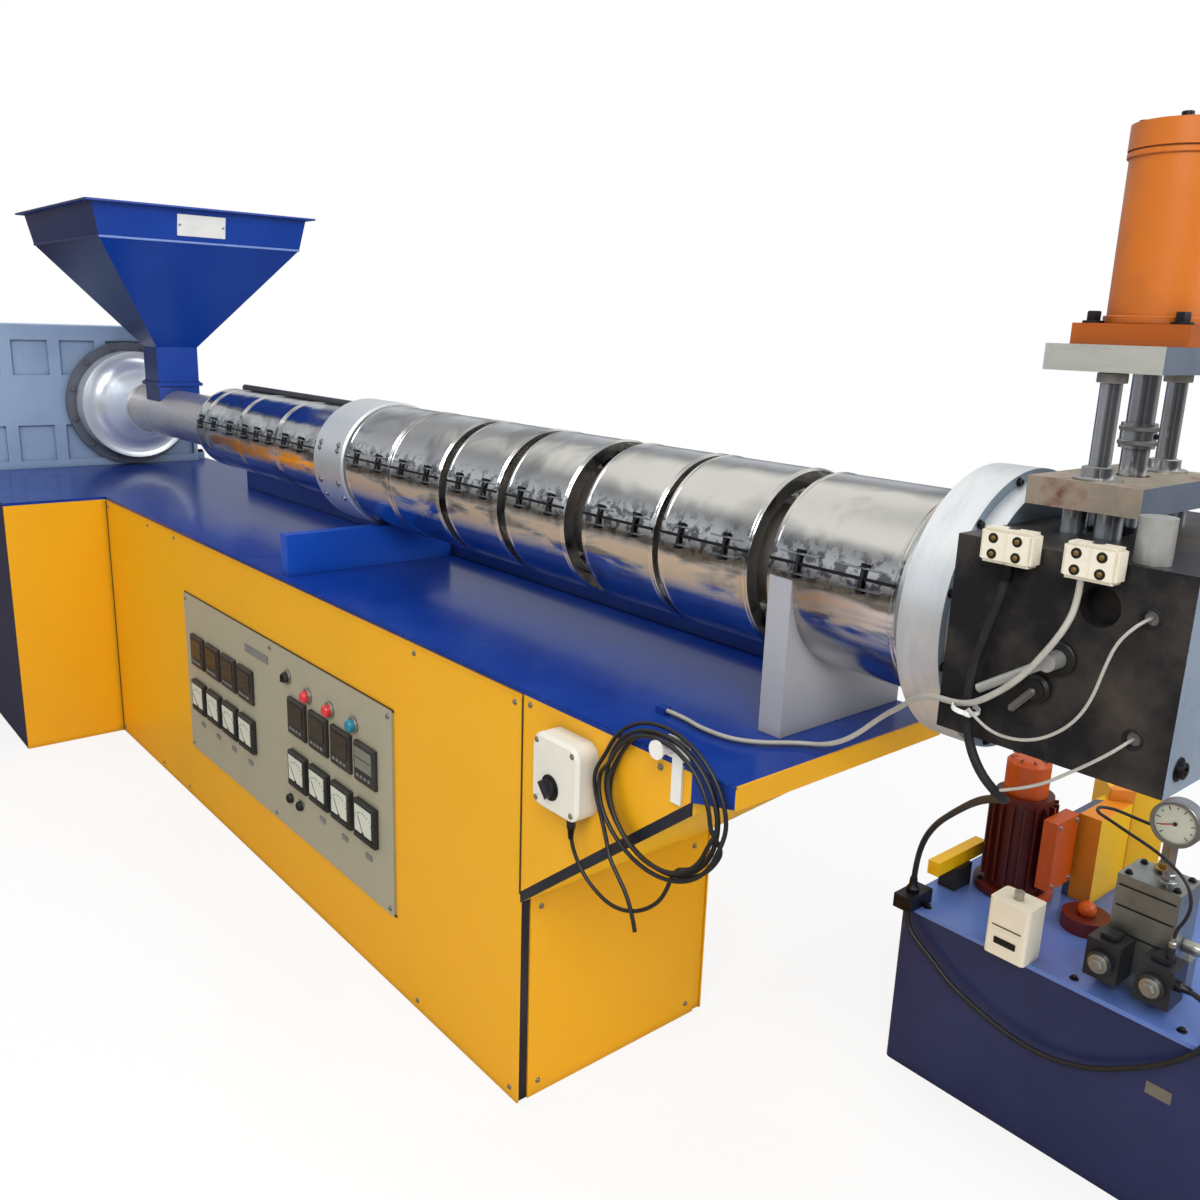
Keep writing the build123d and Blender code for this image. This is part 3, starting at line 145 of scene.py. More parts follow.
class Tree:
    """Short calls that add and link nodes in one node tree.

    Args:
        tree: Blender's node tree.
    """

    def __init__(self, tree: bpy.types.NodeTree) -> None:
        """Hold the tree."""
        self.tree = tree

    def add(self, kind: str, values: dict | None = None, **settings) -> bpy.types.Node:
        """Add a node.

        Args:
            kind: Blender's node type.
            values: Numbers, colours or output sockets by input name or index.
            settings: The node's own settings.

        Returns:
            The new node.
        """
        node = self.tree.nodes.new(kind)
        for key, value in settings.items():
            setattr(node, key, value)
        for key, value in (values or {}).items():
            if isinstance(value, Socket):
                self.tree.links.new(value, node.inputs[key])
            else:
                node.inputs[key].default_value = value
        return node

    def mix(self, factor: Input, first: Input, second: Input, blend: str = "MIX") -> Socket:
        """Mix two colours.

        Args:
            factor: Share of the second colour.
            first: The first colour.
            second: The second colour.
            blend: Way of mixing.

        Returns:
            The mixed colour's socket.
        """
        node = self.add("ShaderNodeMix", {0: factor, 6: first, 7: second},
                        data_type="RGBA", blend_type=blend, clamp_factor=True)
        return node.outputs[2]

    def remap(self, value: Input, low: float, high: float, to_low: float = 0.0,
              to_high: float = 1.0) -> Socket:
        """Map a value between two limits onto two others, clamped."""
        return self.add("ShaderNodeMapRange", {0: value, 1: low, 2: high, 3: to_low, 4: to_high}).outputs[0]

    def maths(self, operation: str, first: Input, second: Input = 0.0) -> Socket:
        """Work out one step of arithmetic and return its socket."""
        return self.add("ShaderNodeMath", {0: first, 1: second}, operation=operation).outputs[0]

    def product(self, *values: Input) -> Socket:
        """Multiply values together, from the first to the last.

        Args:
            values: Numbers or sockets.

        Returns:
            The product's socket.
        """
        result = values[0]
        for value in values[1:]:
            result = self.maths("MULTIPLY", result, value)
        return result

    def stretch(self, vector: Socket, factors: Input) -> Socket:
        """Stretch a vector along each axis and return its socket."""
        return self.add("ShaderNodeVectorMath", {0: vector, 1: factors}, operation="MULTIPLY").outputs[0]

    def dot(self, first: Input, second: Input) -> Socket:
        """Return the socket of two vectors' dot product."""
        node = self.add("ShaderNodeVectorMath", {0: first, 1: second}, operation="DOT_PRODUCT")
        return node.outputs["Value"]

    def noise(self, vector: Socket, scale: Input, detail: float, roughness: float,
              distortion: float = 0.0) -> Socket:
        """Add a noise texture.

        Args:
            vector: Where it is looked up.
            scale: Repeats in a metre.
            detail: Number of finer layers.
            roughness: Strength of the finer layers.
            distortion: How much it is warped.

        Returns:
            Its value's socket.
        """
        return self.add("ShaderNodeTexNoise", {
            "Vector": vector, "Scale": scale, "Detail": detail, "Roughness": roughness,
            "Distortion": distortion}).outputs[0]

    def shaded(self, colour: Socket, value: Socket) -> Socket:
        """Multiply a colour by a grey of one value and return the result's socket."""
        grey = self.add("ShaderNodeCombineColor", {0: value, 1: value, 2: value}).outputs[0]
        return self.mix(1.0, colour, grey, "MULTIPLY")

    def ramp(self, value: Socket, stops: tuple) -> Socket:
        """Look a value up in a row of colours.

        Args:
            value: The value's socket.
            stops: Place and colour of each stop.

        Returns:
            The found colour's socket.
        """
        node = self.add("ShaderNodeValToRGB", {0: value})
        for place, shade in stops:
            node.color_ramp.elements.new(place).color = (*shade[:3], 1.0)
        return node.outputs[0]

    def send(self, out: bpy.types.Node, **sockets: Socket) -> None:
        """Link sockets to a group's outputs by name."""
        for label, socket in sockets.items():
            self.tree.links.new(socket, out.inputs[label])


def empty_tree(owner: bpy.types.ID) -> Tree:
    """Give a material or a world an empty node tree.

    Args:
        owner: The material or the world.

    Returns:
        Its tree.
    """
    owner.use_nodes = True
    owner.node_tree.nodes.clear()
    return Tree(owner.node_tree)


def link_object(name: str, data: bpy.types.ID) -> bpy.types.Object:
    """Make an object of some data and link it to the scene.

    Args:
        name: The object's name.
        data: Its mesh, curve, camera or light.

    Returns:
        The object.
    """
    made = bpy.data.objects.new(name, data)
    bpy.context.scene.collection.objects.link(made)
    return made


def new_group(name: str, inputs: dict, outputs: dict) -> tuple:
    """Start a shader node group.

    Args:
        name: The group's name.
        inputs: Socket types by input name.
        outputs: Socket types by output name.

    Returns:
        The group, its Tree, its input node and its output node.
    """
    group = bpy.data.node_groups.new(name, "ShaderNodeTree")
    for label, kind in inputs.items():
        group.interface.new_socket(label, in_out="INPUT", socket_type=kind)
    for label, kind in outputs.items():
        group.interface.new_socket(label, in_out="OUTPUT", socket_type=kind)
    tree = Tree(group)
    return group, tree, tree.add("NodeGroupInput"), tree.add("NodeGroupOutput")


VALUE, COLOUR, VECTOR = "NodeSocketFloat", "NodeSocketColor", "NodeSocketVector"
FINE_PER_BROAD = 38.0
EDGE_WEAR, CREVICE_SHADE_REACH = 0.0025, 0.03


def pattern_group() -> bpy.types.NodeTree:
    """Make the shared pattern: broad mottling, fine grain, worn edges and painted shade in crevices.

    Returns:
        A group with Colour, Mask, Roughness and Normal outputs.
    """
    group, tree, given, out = new_group(
        "surface_pattern",
        {"Colour": COLOUR, "Second": COLOUR, "Spread": VALUE, "Scale": VALUE,
         "Grain": VECTOR, "Roughness": VALUE, "Bump": VALUE},
        {"Colour": COLOUR, "Mask": VALUE, "Roughness": VALUE, "Normal": VECTOR})
    stretched = tree.stretch(tree.add("ShaderNodeTexCoord").outputs["Object"], given.outputs["Grain"])
    broad = tree.noise(stretched, given.outputs["Scale"], 5.0, 0.6)
    fine = tree.noise(stretched, tree.product(given.outputs["Scale"], FINE_PER_BROAD), 2.0, 0.5)
    edge = tree.add("ShaderNodeBevel", {"Radius": EDGE_WEAR}, samples=4).outputs[0]
    worn = tree.remap(tree.dot(edge, tree.add("ShaderNodeNewGeometry").outputs["Normal"]), 0.995, 0.90)
    edge_mask = tree.product(worn, tree.remap(fine, 0.52, 0.68), 0.7)
    cloud = tree.product(tree.remap(broad, 0.46, 0.74), given.outputs["Spread"])
    mask = tree.maths("MAXIMUM", edge_mask, cloud)
    tone = tree.shaded(given.outputs["Colour"], tree.remap(broad, 0.2, 0.8, 0.90, 1.10))
    # Painted shade: the colour darkens where ambient occlusion finds surfaces close by, in crevices,
    # recesses and under things.
    open_air = tree.add("ShaderNodeAmbientOcclusion", {"Distance": CREVICE_SHADE_REACH}, samples=6).outputs["AO"]
    crevice_shade = tree.remap(open_air, 0.25, 0.85, 0.55, 1.0)
    rough = tree.maths("ADD", given.outputs["Roughness"],
                       tree.product(tree.maths("SUBTRACT", broad, 0.5), 0.18))
    bump = tree.add("ShaderNodeBump", {"Height": fine, "Strength": given.outputs["Bump"],
                                       "Distance": 0.001}).outputs[0]
    tree.send(out, Colour=tree.shaded(tree.mix(mask, tone, given.outputs["Second"]), crevice_shade),
              Mask=mask, Roughness=rough, Normal=bump)
    return group


def foil_group() -> bpy.types.NodeTree:
    """Make the look of thin polished sheet: soft dents, darker patches at the dents, painted shade and dark
    reflection along the front's middle, and a painted warm reflection low on the front.

    Returns:
        A group with Colour, Roughness, Metallic and Normal outputs.
    """
    group, tree, given, out = new_group(
        "polished_sheet", {"Colour": COLOUR, "DarkPatchesAndReflection": COLOUR},
        {"Colour": COLOUR, "Roughness": VALUE, "Metallic": VALUE, "Normal": VECTOR})
    place = tree.add("ShaderNodeTexCoord").outputs["Object"]
    dents = tree.noise(tree.stretch(place, (0.8, 1.0, 1.0)), 9.0, 2.0, 0.5, 0.4)
    shade_breakup = tree.noise(place, 52.0, 4.0, 0.6)
    reflection_streaks = tree.noise(tree.stretch(place, (0.25, 1.0, 1.0)), 22.0, 3.0, 0.55, 0.5)
    bump = tree.add("ShaderNodeBump", {"Height": dents, "Strength": 0.30, "Distance": 0.012}).outputs[0]
    _, facing_y, facing_z = tree.add(
        "ShaderNodeSeparateXYZ", {0: tree.add("ShaderNodeNewGeometry").outputs["Normal"]}).outputs
    front = tree.remap(facing_y, 0.05, -0.35)
    # Painted warm reflection: a strip low on the front, tinted orange to brown along X and made less
    # metallic.
    painted_warm_reflection = tree.product(tree.remap(facing_z, 0.06, -0.06), tree.remap(facing_z, -0.46, -0.30), front,
                        tree.remap(reflection_streaks, 0.40, 0.52))
    # Painted shade and dark reflection: a broken strip along the front's middle, by the clamp bolts.
    painted_middle_shade = tree.product(tree.remap(facing_z, 0.50, 0.34), tree.remap(facing_z, -0.05, 0.12), front,
                          tree.remap(shade_breakup, 0.49, 0.57, 0.0, 0.85))
    along = tree.add("ShaderNodeSeparateXYZ", {0: place}).outputs[0]
    # Colours of the painted warm reflection along X.
    reflection_tint = tree.ramp(tree.remap(along, -1.0, 2.0), (
        (0.30, srgb(244, 158, 30)), (0.38, srgb(190, 168, 146)),
        (0.84, srgb(204, 180, 152)), (0.90, srgb(150, 104, 62))))
    # Darker in patches where the dents are.
    dark_at_dents = tree.mix(tree.remap(dents, 0.52, 0.66, 0.0, 0.45),
                      given.outputs["Colour"], given.outputs["DarkPatchesAndReflection"])
    colour = tree.mix(painted_middle_shade, tree.mix(painted_warm_reflection, dark_at_dents, reflection_tint), given.outputs["DarkPatchesAndReflection"])
    tree.send(out, Colour=colour, Roughness=tree.remap(dents, 0.3, 0.75, 0.10, 0.24),
              Metallic=tree.maths("SUBTRACT", 1.0, tree.product(painted_warm_reflection, 0.8)), Normal=bump)
    return group


FINISHES = {f.name: f for f in (
    Finish("deck_blue", PAINT, (16, 52, 138), (60, 92, 160), 0.24, 0.22, 4.0, bump=0.05, coat=0.12,
           shine=0.14),
    # A pale blue for the hopper's end folds: a painted highlight.
    Finish("fold_highlight", PAINT, (128, 158, 224), (60, 100, 190), 0.30, 0.5, 4.0, bump=0.05, coat=0.10),
    # A lighter copy of the deck's blue for its rear lip: painted light against the shade the lip stands in.
    Finish("lip_blue_lit", PAINT, (62, 92, 172), (84, 112, 180), 0.34, 0.5, 5.0, bump=0.05, shine=0.2),
    Finish("hopper_blue", PAINT, (12, 62, 158), (30, 84, 176), 0.30, 0.25, 3.0, bump=0.05, coat=0.10,
           other="hopper_shade", split=((0, -1, 0), 0.45), by_facing=True, shine=0.35),
    Finish("hopper_shade", PAINT, (18, 36, 92), (44, 50, 84), 0.34, 0.5, 4.0, bump=0.05, shine=0.30),
    Finish("stand_blue", PAINT, (22, 78, 182), (50, 100, 190), 0.30, 0.3, 4.0, bump=0.05, shine=0.25),
    Finish("panel_yellow", PAINT, (238, 172, 6), (226, 154, 4), 0.38, 0.4, 2.2, bump=0.05, coat=0.0),
    Finish("frame_dark", PAINT, (34, 36, 48), (70, 72, 84), 0.45, 0.3, 5.0),
    Finish("frame_long", PAINT, (34, 36, 48), (70, 72, 84), 0.45, 0.3, 5.0, other="panel_yellow",
           split=((0, 1, 0), 0.20)),
    Finish("wide_navy", PAINT, (30, 36, 72), (54, 60, 96), 0.45, 0.3, 4.0),
    Finish("panel_beige", PAINT, (166, 160, 136), (148, 146, 130), 0.42, 0.4, 4.0),
    Finish("instrument_black", PLAIN, (48, 45, 42), (74, 70, 64), 0.42, 0.3, 9.0),
    Finish("display_dark", PLAIN, (52, 46, 36), (70, 62, 48), 0.25, 0.4, 12.0),
    Finish("meter_case", PLAIN, (40, 40, 40), (70, 70, 68), 0.40, 0.2, 9.0),
    Finish("dial_white", PLAIN, (206, 208, 192), (186, 186, 168), 0.35, 0.3, 9.0),
    Finish("ink_black", PLAIN, (22, 22, 22), (46, 46, 46), 0.5, 0.2, 9.0),
    Finish("window_grey", PLAIN, (122, 122, 112), (96, 96, 88), 0.35, 0.4, 12.0),
    Finish("button_grey", PLAIN, (120, 120, 116), (150, 150, 146), 0.5, 0.2, 20.0),
    Finish("lamp_red", PLAIN, (206, 44, 52), (236, 96, 96), 0.15, 0.3, 20.0, coat=0.6),
    Finish("lamp_teal", PLAIN, (24, 122, 150), (60, 160, 186), 0.15, 0.3, 20.0, coat=0.6),
    Finish("box_white", PLAIN, (226, 222, 208), (198, 190, 170), 0.42, 0.35, 7.0, bump=0.12,
           other="solenoid_black", split=((0, 0, -1), -0.6972)),
    Finish("hook_white", PLAIN, (232, 230, 222), (206, 200, 186), 0.40, 0.3, 12.0),
    Finish("starter_white", PLAIN, (236, 228, 206), (206, 196, 170), 0.42, 0.35, 7.0, bump=0.12,
           other="zinc", split=((0, 0, 1), 0.4842)),
    Finish("gear_grey", PAINT, (158, 180, 208), (120, 142, 172), 0.50, 0.5, 5.0, bump=0.35),
    Finish("ring_grey", PAINT, (104, 108, 118), (74, 76, 84), 0.45, 0.5, 8.0),
    Finish("turned_metal", METAL, (242, 247, 252), (196, 202, 210), 0.22, 0.35, 6.0, (14.0, 1.0, 1.0),
           0.25, metal=0.5),
    Finish("barrel_steel", METAL, (222, 214, 204), (170, 156, 140), 0.30, 0.5, 6.0, (10.0, 1.0, 1.0),
           0.25, metal=0.8),
    Finish("screw_steel", METAL, (170, 170, 170), (110, 108, 104), 0.35, 0.4, 8.0),
    Finish("collar_metal", METAL, (226, 230, 232), (190, 192, 196), 0.42, 0.5, 9.0, bump=0.4, metal=0.75),
    Finish("stand_grey", PAINT, (172, 172, 176), (148, 150, 156), 0.40, 0.4, 6.0, bump=0.15),
    # Faces of the flange turned to +X take a darker blue-grey copy: painted shade.
    Finish("flange_metal", METAL, (242, 245, 247), (170, 176, 182), 0.36, 0.45, 7.0, (6.0, 1.0, 1.0), 0.3,
           other="flange_side_shade", split=((1, 0, 0), 0.7), by_facing=True, metal=0.7),
    Finish("flange_side_shade", METAL, (146, 166, 184), (132, 118, 104), 0.40, 0.7, 6.0, bump=0.3, metal=0.5),
    Finish("die_steel", METAL, (52, 53, 57), (122, 112, 102), 0.46, 0.75, 6.0, bump=0.6, other="die_face",
           split=((1, 0, 0), 2.2755), metal=0.8),
    Finish("plate_rust", RUSTY, (184, 174, 156), (104, 58, 40), 0.55, 1.0, 15.0, bump=0.5),
    Finish("plate_grey", METAL, (216, 216, 206), (176, 180, 172), 0.34, 0.6, 8.0, (1.0, 4.0, 6.0), 0.3,
           other="plate_rust", split=((0, 0, -1), -1.40), metal=0.6),
    Finish("plate_side", METAL, (122, 132, 150), (84, 92, 106), 0.46, 0.6, 7.0, bump=0.3,
           other="plate_grey", split=((-1, 0, 0), -2.1575), metal=0.5),
    Finish("column_chrome", CHROME, (240, 244, 246), (196, 204, 208), 0.12, 0.3, 9.0, (1.0, 1.0, 0.2),
           0.1, metal=0.8),
    Finish("cylinder_orange", PAINT, (200, 108, 26), (150, 78, 36), 0.34, 0.7, 7.0, bump=0.15, coat=0.1,
           other="zinc", split=((1, 0, 0), 2.1575)),
    # Below z 1.5262 the cylinder, with its flange, takes a darker copy of its orange: painted shade.
    Finish("flange_orange_shade", PAINT, (172, 84, 18), (138, 78, 34), 0.38, 0.7, 9.0, bump=0.15,
           other="cylinder_orange", split=((0, 0, 1), 1.5262)),
    # The tank's body takes a darkened copy of its blue as painted shade; the lid a lighter one as painted
    # reflection.
    Finish("tank_blue", PAINT, (34, 42, 84), (50, 60, 108), 0.34, 0.4, 3.5, bump=0.12, coat=0.2,
           other="lid_blue_sheen", split=((0, 0, 1), 0.3602)),
    Finish("lid_blue_sheen", PAINT, (92, 120, 188), (110, 134, 190), 0.30, 0.5, 3.5, bump=0.08, coat=0.2,
           other="bolt_black", split=((0, 0, 1), 0.3702)),
    Finish("die_face", METAL, (160, 176, 196), (110, 122, 140), 0.46, 0.5, 7.0, bump=0.3, metal=0.5),
    Finish("flange_dark", PAINT, (34, 36, 48), (70, 72, 84), 0.45, 0.3, 5.0, other="box_yellow",
           split=((0, 1, 0), -0.2505)),
    Finish("motor_red", PAINT, (92, 26, 16), (60, 18, 14), 0.42, 0.5, 9.0, bump=0.3, other="motor_orange",
           split=((1, 0, 0), 1.7795)),
    Finish("motor_orange", PAINT, (204, 84, 4), (160, 56, 4), 0.36, 0.5, 8.0, bump=0.15),
    Finish("filler_red", PAINT, (96, 26, 16), (84, 26, 20), 0.40, 0.4, 9.0, other="motor_orange",
           split=((0, 0, 1), 0.4002)),
    # Between x 1.804 and 1.8495 the box takes an orange copy of its yellow: painted shade on its side.
    Finish("cooler_box", PAINT, (252, 196, 14), (232, 164, 16), 0.40, 0.4, 5.0, other="cooler_side_shade",
           split=((-1, 0, 0), -1.8495)),
    Finish("cooler_side_shade", PAINT, (236, 142, 30), (214, 120, 20), 0.40, 0.4, 5.0, other="cooler_core",
           split=((-1, 0, 0), -1.8040)),
    Finish("cooler_core", METAL, (116, 128, 150), (70, 76, 90), 0.45, 0.6, 30.0, (1.0, 1.0, 9.0), 0.9,
           other="box_yellow", split=((-0.6428, 0.7660, 0.0), -0.4950)),
    Finish("box_yellow", PAINT, (252, 196, 14), (232, 164, 16), 0.36, 0.4, 5.0, bump=0.08),
    Finish("rail_yellow", PLAIN, (36, 34, 34), (60, 58, 58), 0.5, 0.3, 9.0, other="box_yellow",
           split=((0, 0, 1), 0.4202)),
    Finish("valve_metal", METAL, (170, 174, 170), (104, 106, 104), 0.42, 0.6, 14.0, bump=0.4),
    Finish("solenoid_black", PLAIN, (32, 32, 36), (60, 60, 66), 0.38, 0.3, 12.0),
    Finish("conduit_dark", PAINT, (44, 44, 48), (78, 76, 74), 0.45, 0.4, 12.0, bump=0.3),
    Finish("gauge_steel", METAL, (176, 178, 182), (116, 116, 118), 0.30, 0.4, 12.0),
    Finish("fitting_bright", METAL, (190, 190, 186), (128, 126, 122), 0.34, 0.6, 20.0, bump=0.3,
           metal=0.55),
    Finish("zinc", METAL, (196, 196, 190), (146, 142, 128), 0.34, 0.5, 20.0, bump=0.2),
    Finish("bolt_black", METAL, (52, 50, 54), (86, 80, 76), 0.40, 0.4, 20.0, bump=0.2),
    Finish("brass", METAL, (196, 164, 92), (140, 104, 52), 0.32, 0.5, 24.0, bump=0.2),
    Finish("ceramic_cream", PLAIN, (232, 224, 204), (204, 192, 164), 0.30, 0.5, 26.0, bump=0.2, coat=0.3),
    Finish("hose_black", PLAIN, (30, 30, 33), (58, 58, 62), 0.42, 0.3, 30.0, bump=0.3),
    Finish("lead_light", PLAIN, (176, 172, 162), (140, 132, 118), 0.48, 0.6, 30.0, bump=0.5),
    Finish("tie_white", PLAIN, (236, 236, 232), (210, 208, 200), 0.35, 0.2, 30.0),
    Finish("seam_dark", PLAIN, (60, 44, 24), (90, 64, 30), 0.6, 0.3, 9.0),
)}

NODE_FINISH = {
    "ammeters": "meter_case", "back_panels": "panel_yellow", "barrel_collar": "collar_metal",
    "barrel_saddle": "stand_grey", "barrel_tube": "barrel_steel", "bearing_bell": "turned_metal",
    "bearing_ring": "ring_grey", "coil_hook": "hook_white", "collar_stand": "stand_blue",
    "control_panel": "panel_beige", "deck_plate": "deck_blue", "die_block": "die_steel",
    "end_panel": "panel_yellow", "extruder_screw": "screw_steel", "feed_throat": "hopper_blue",
    "filler_cap": "filler_red", "front_panel": "panel_yellow", "gate_slide": "column_chrome",
    "gearbox_housing": "gear_grey", "head_flange": "flange_metal", "hopper_body": "hopper_blue",
    "hopper_neck": "hopper_blue", "hydraulic_cylinder": "flange_orange_shade",
    "indicator_lamps": "meter_case", "long_frame": "frame_long", "motor_cowl": "motor_orange",
    "oil_cooler": "cooler_box", "oil_tank": "tank_blue", "overhang_flange": "flange_dark",
    "overhang_panels": "panel_yellow", "piston_rod": "column_chrome",
    "press_columns": "column_chrome", "press_plates": "plate_side",
    "pressure_gauge": "gauge_steel", "pump_motor": "motor_red", "sensor_fitting": "fitting_bright",
    "side_rail": "rail_yellow", "solenoid_valve": "solenoid_black", "starter_box": "starter_white",
    "switch_box": "box_white", "switch_knob": "solenoid_black",
    "temperature_controllers": "instrument_black", "valve_block": "valve_metal",
    "wide_frame": "frame_dark", "wide_front_panel": "wide_navy",
    "wide_side_panels": "panel_yellow", "wire_conduit": "conduit_dark",
}


class MaterialShop:
    """Makes each finish once, and hands out its material."""

    def __init__(self) -> None:
        """Make the shared groups."""
        self.pattern = pattern_group()
        self.foil = foil_group()
        self.made: dict[str, bpy.types.Material] = {}

    def shader(self, tree: Tree, finish: Finish) -> Socket:
        """Add one finish's nodes to a tree.

        Args:
            tree: The material's tree.
            finish: The finish to lay down.

        Returns:
            The shader's output socket.
        """
        laid = tree.add("ShaderNodeGroup", node_tree=self.pattern)
        for key, value in (("Colour", srgb(*finish.colour)), ("Second", srgb(*finish.second)),
                           ("Spread", finish.spread), ("Scale", finish.scale),
                           ("Grain", finish.grain), ("Roughness", finish.roughness),
                           ("Bump", finish.bump)):
            laid.inputs[key].default_value = value
        values = {"Base Color": laid.outputs["Colour"], "Roughness": laid.outputs["Roughness"],
                  "Normal": laid.outputs["Normal"], "Coat Weight": finish.coat,
                  "Coat Roughness": 0.08, "Specular IOR Level": finish.shine}
        if finish.surface in (METAL, CHROME):
            values["Metallic"] = finish.metal
        if finish.surface is CHROME:
            values["Base Color"] = self.striped(tree, laid.outputs["Colour"])
        if finish.surface is RUSTY:
            values["Metallic"] = tree.remap(laid.outputs["Mask"], 0.1, 0.5, 0.8, 0.0)
        return tree.add("ShaderNodeBsdfPrincipled", values).outputs[0]

    def striped(self, tree: Tree, colour: bpy.types.NodeSocket) -> Socket:
        """Paint reflections on a polished column: upright dark stripes, as a room full of things would
        reflect.

        Args:
            tree: The material's tree.
            colour: The clean colour.

        Returns:
            The striped colour's socket.
        """
        facing = tree.add("ShaderNodeNewGeometry").outputs["Normal"]
        across = tree.remap(tree.dot(facing, (0.919, 0.395, 0.0)), -1.0, 1.0)
        # Painted reflection: how dark the column is, by the way its surface faces.
        stops = ((0.04, 0.50), (0.10, 1.00), (0.34, 0.90), (0.44, 0.34), (0.54, 0.18),
                 (0.62, 0.42), (0.70, 0.20), (0.84, 0.26), (0.93, 1.00))
        reflection_stripes = tree.ramp(across, [(at, (shade, shade * 1.03, shade * 1.10)) for at, shade in stops])
        return tree.mix(1.0, colour, reflection_stripes, "MULTIPLY")

    def layered(self, tree: Tree, finish: Finish) -> Socket:
        """Add a finish, and past its split plane the one that follows it.

        Args:
            tree: The material's tree.
            finish: The finish to lay down first.

        Returns:
            The shader's output socket.
        """
        shader = self.shader(tree, finish)
        if not finish.other:
            return shader
        past = self.layered(tree, FINISHES[finish.other])
        if finish.by_facing:
            source = tree.add("ShaderNodeNewGeometry").outputs["Normal"]
        else:
            source = tree.add("ShaderNodeTexCoord").outputs["Object"]
        side = tree.maths("GREATER_THAN", tree.dot(source, finish.split[0]), finish.split[1])
        return tree.add("ShaderNodeMixShader", {0: side, 1: shader, 2: past}).outputs[0]

    def get(self, name: str) -> bpy.types.Material:
        """Return the material of a finish, made on first use.

        Args:
            name: The finish's name.

        Returns:
            The material.
        """
        if name in self.made:
            return self.made[name]
        material = bpy.data.materials.new(name)
        tree = empty_tree(material)
        if name == "band_chrome":
            foil = tree.add("ShaderNodeGroup", node_tree=self.foil)
            foil.inputs["Colour"].default_value = srgb(214, 213, 210)
            foil.inputs["DarkPatchesAndReflection"].default_value = srgb(84, 88, 94)
            shader = tree.add("ShaderNodeBsdfPrincipled", {
                "Base Color": foil.outputs["Colour"], "Roughness": foil.outputs["Roughness"],
                "Normal": foil.outputs["Normal"], "Metallic": foil.outputs["Metallic"]}).outputs[0]
        else:
            shader = self.layered(tree, FINISHES[name])
        tree.add("ShaderNodeOutputMaterial", {"Surface": shader})
        self.made[name] = material
        return material


def spoke(degrees: float) -> Vector:
    """Return the direction away from the barrel's axis at an angle, from +Y up."""
    return Vector((0, cos(radians(degrees)), sin(radians(degrees))))


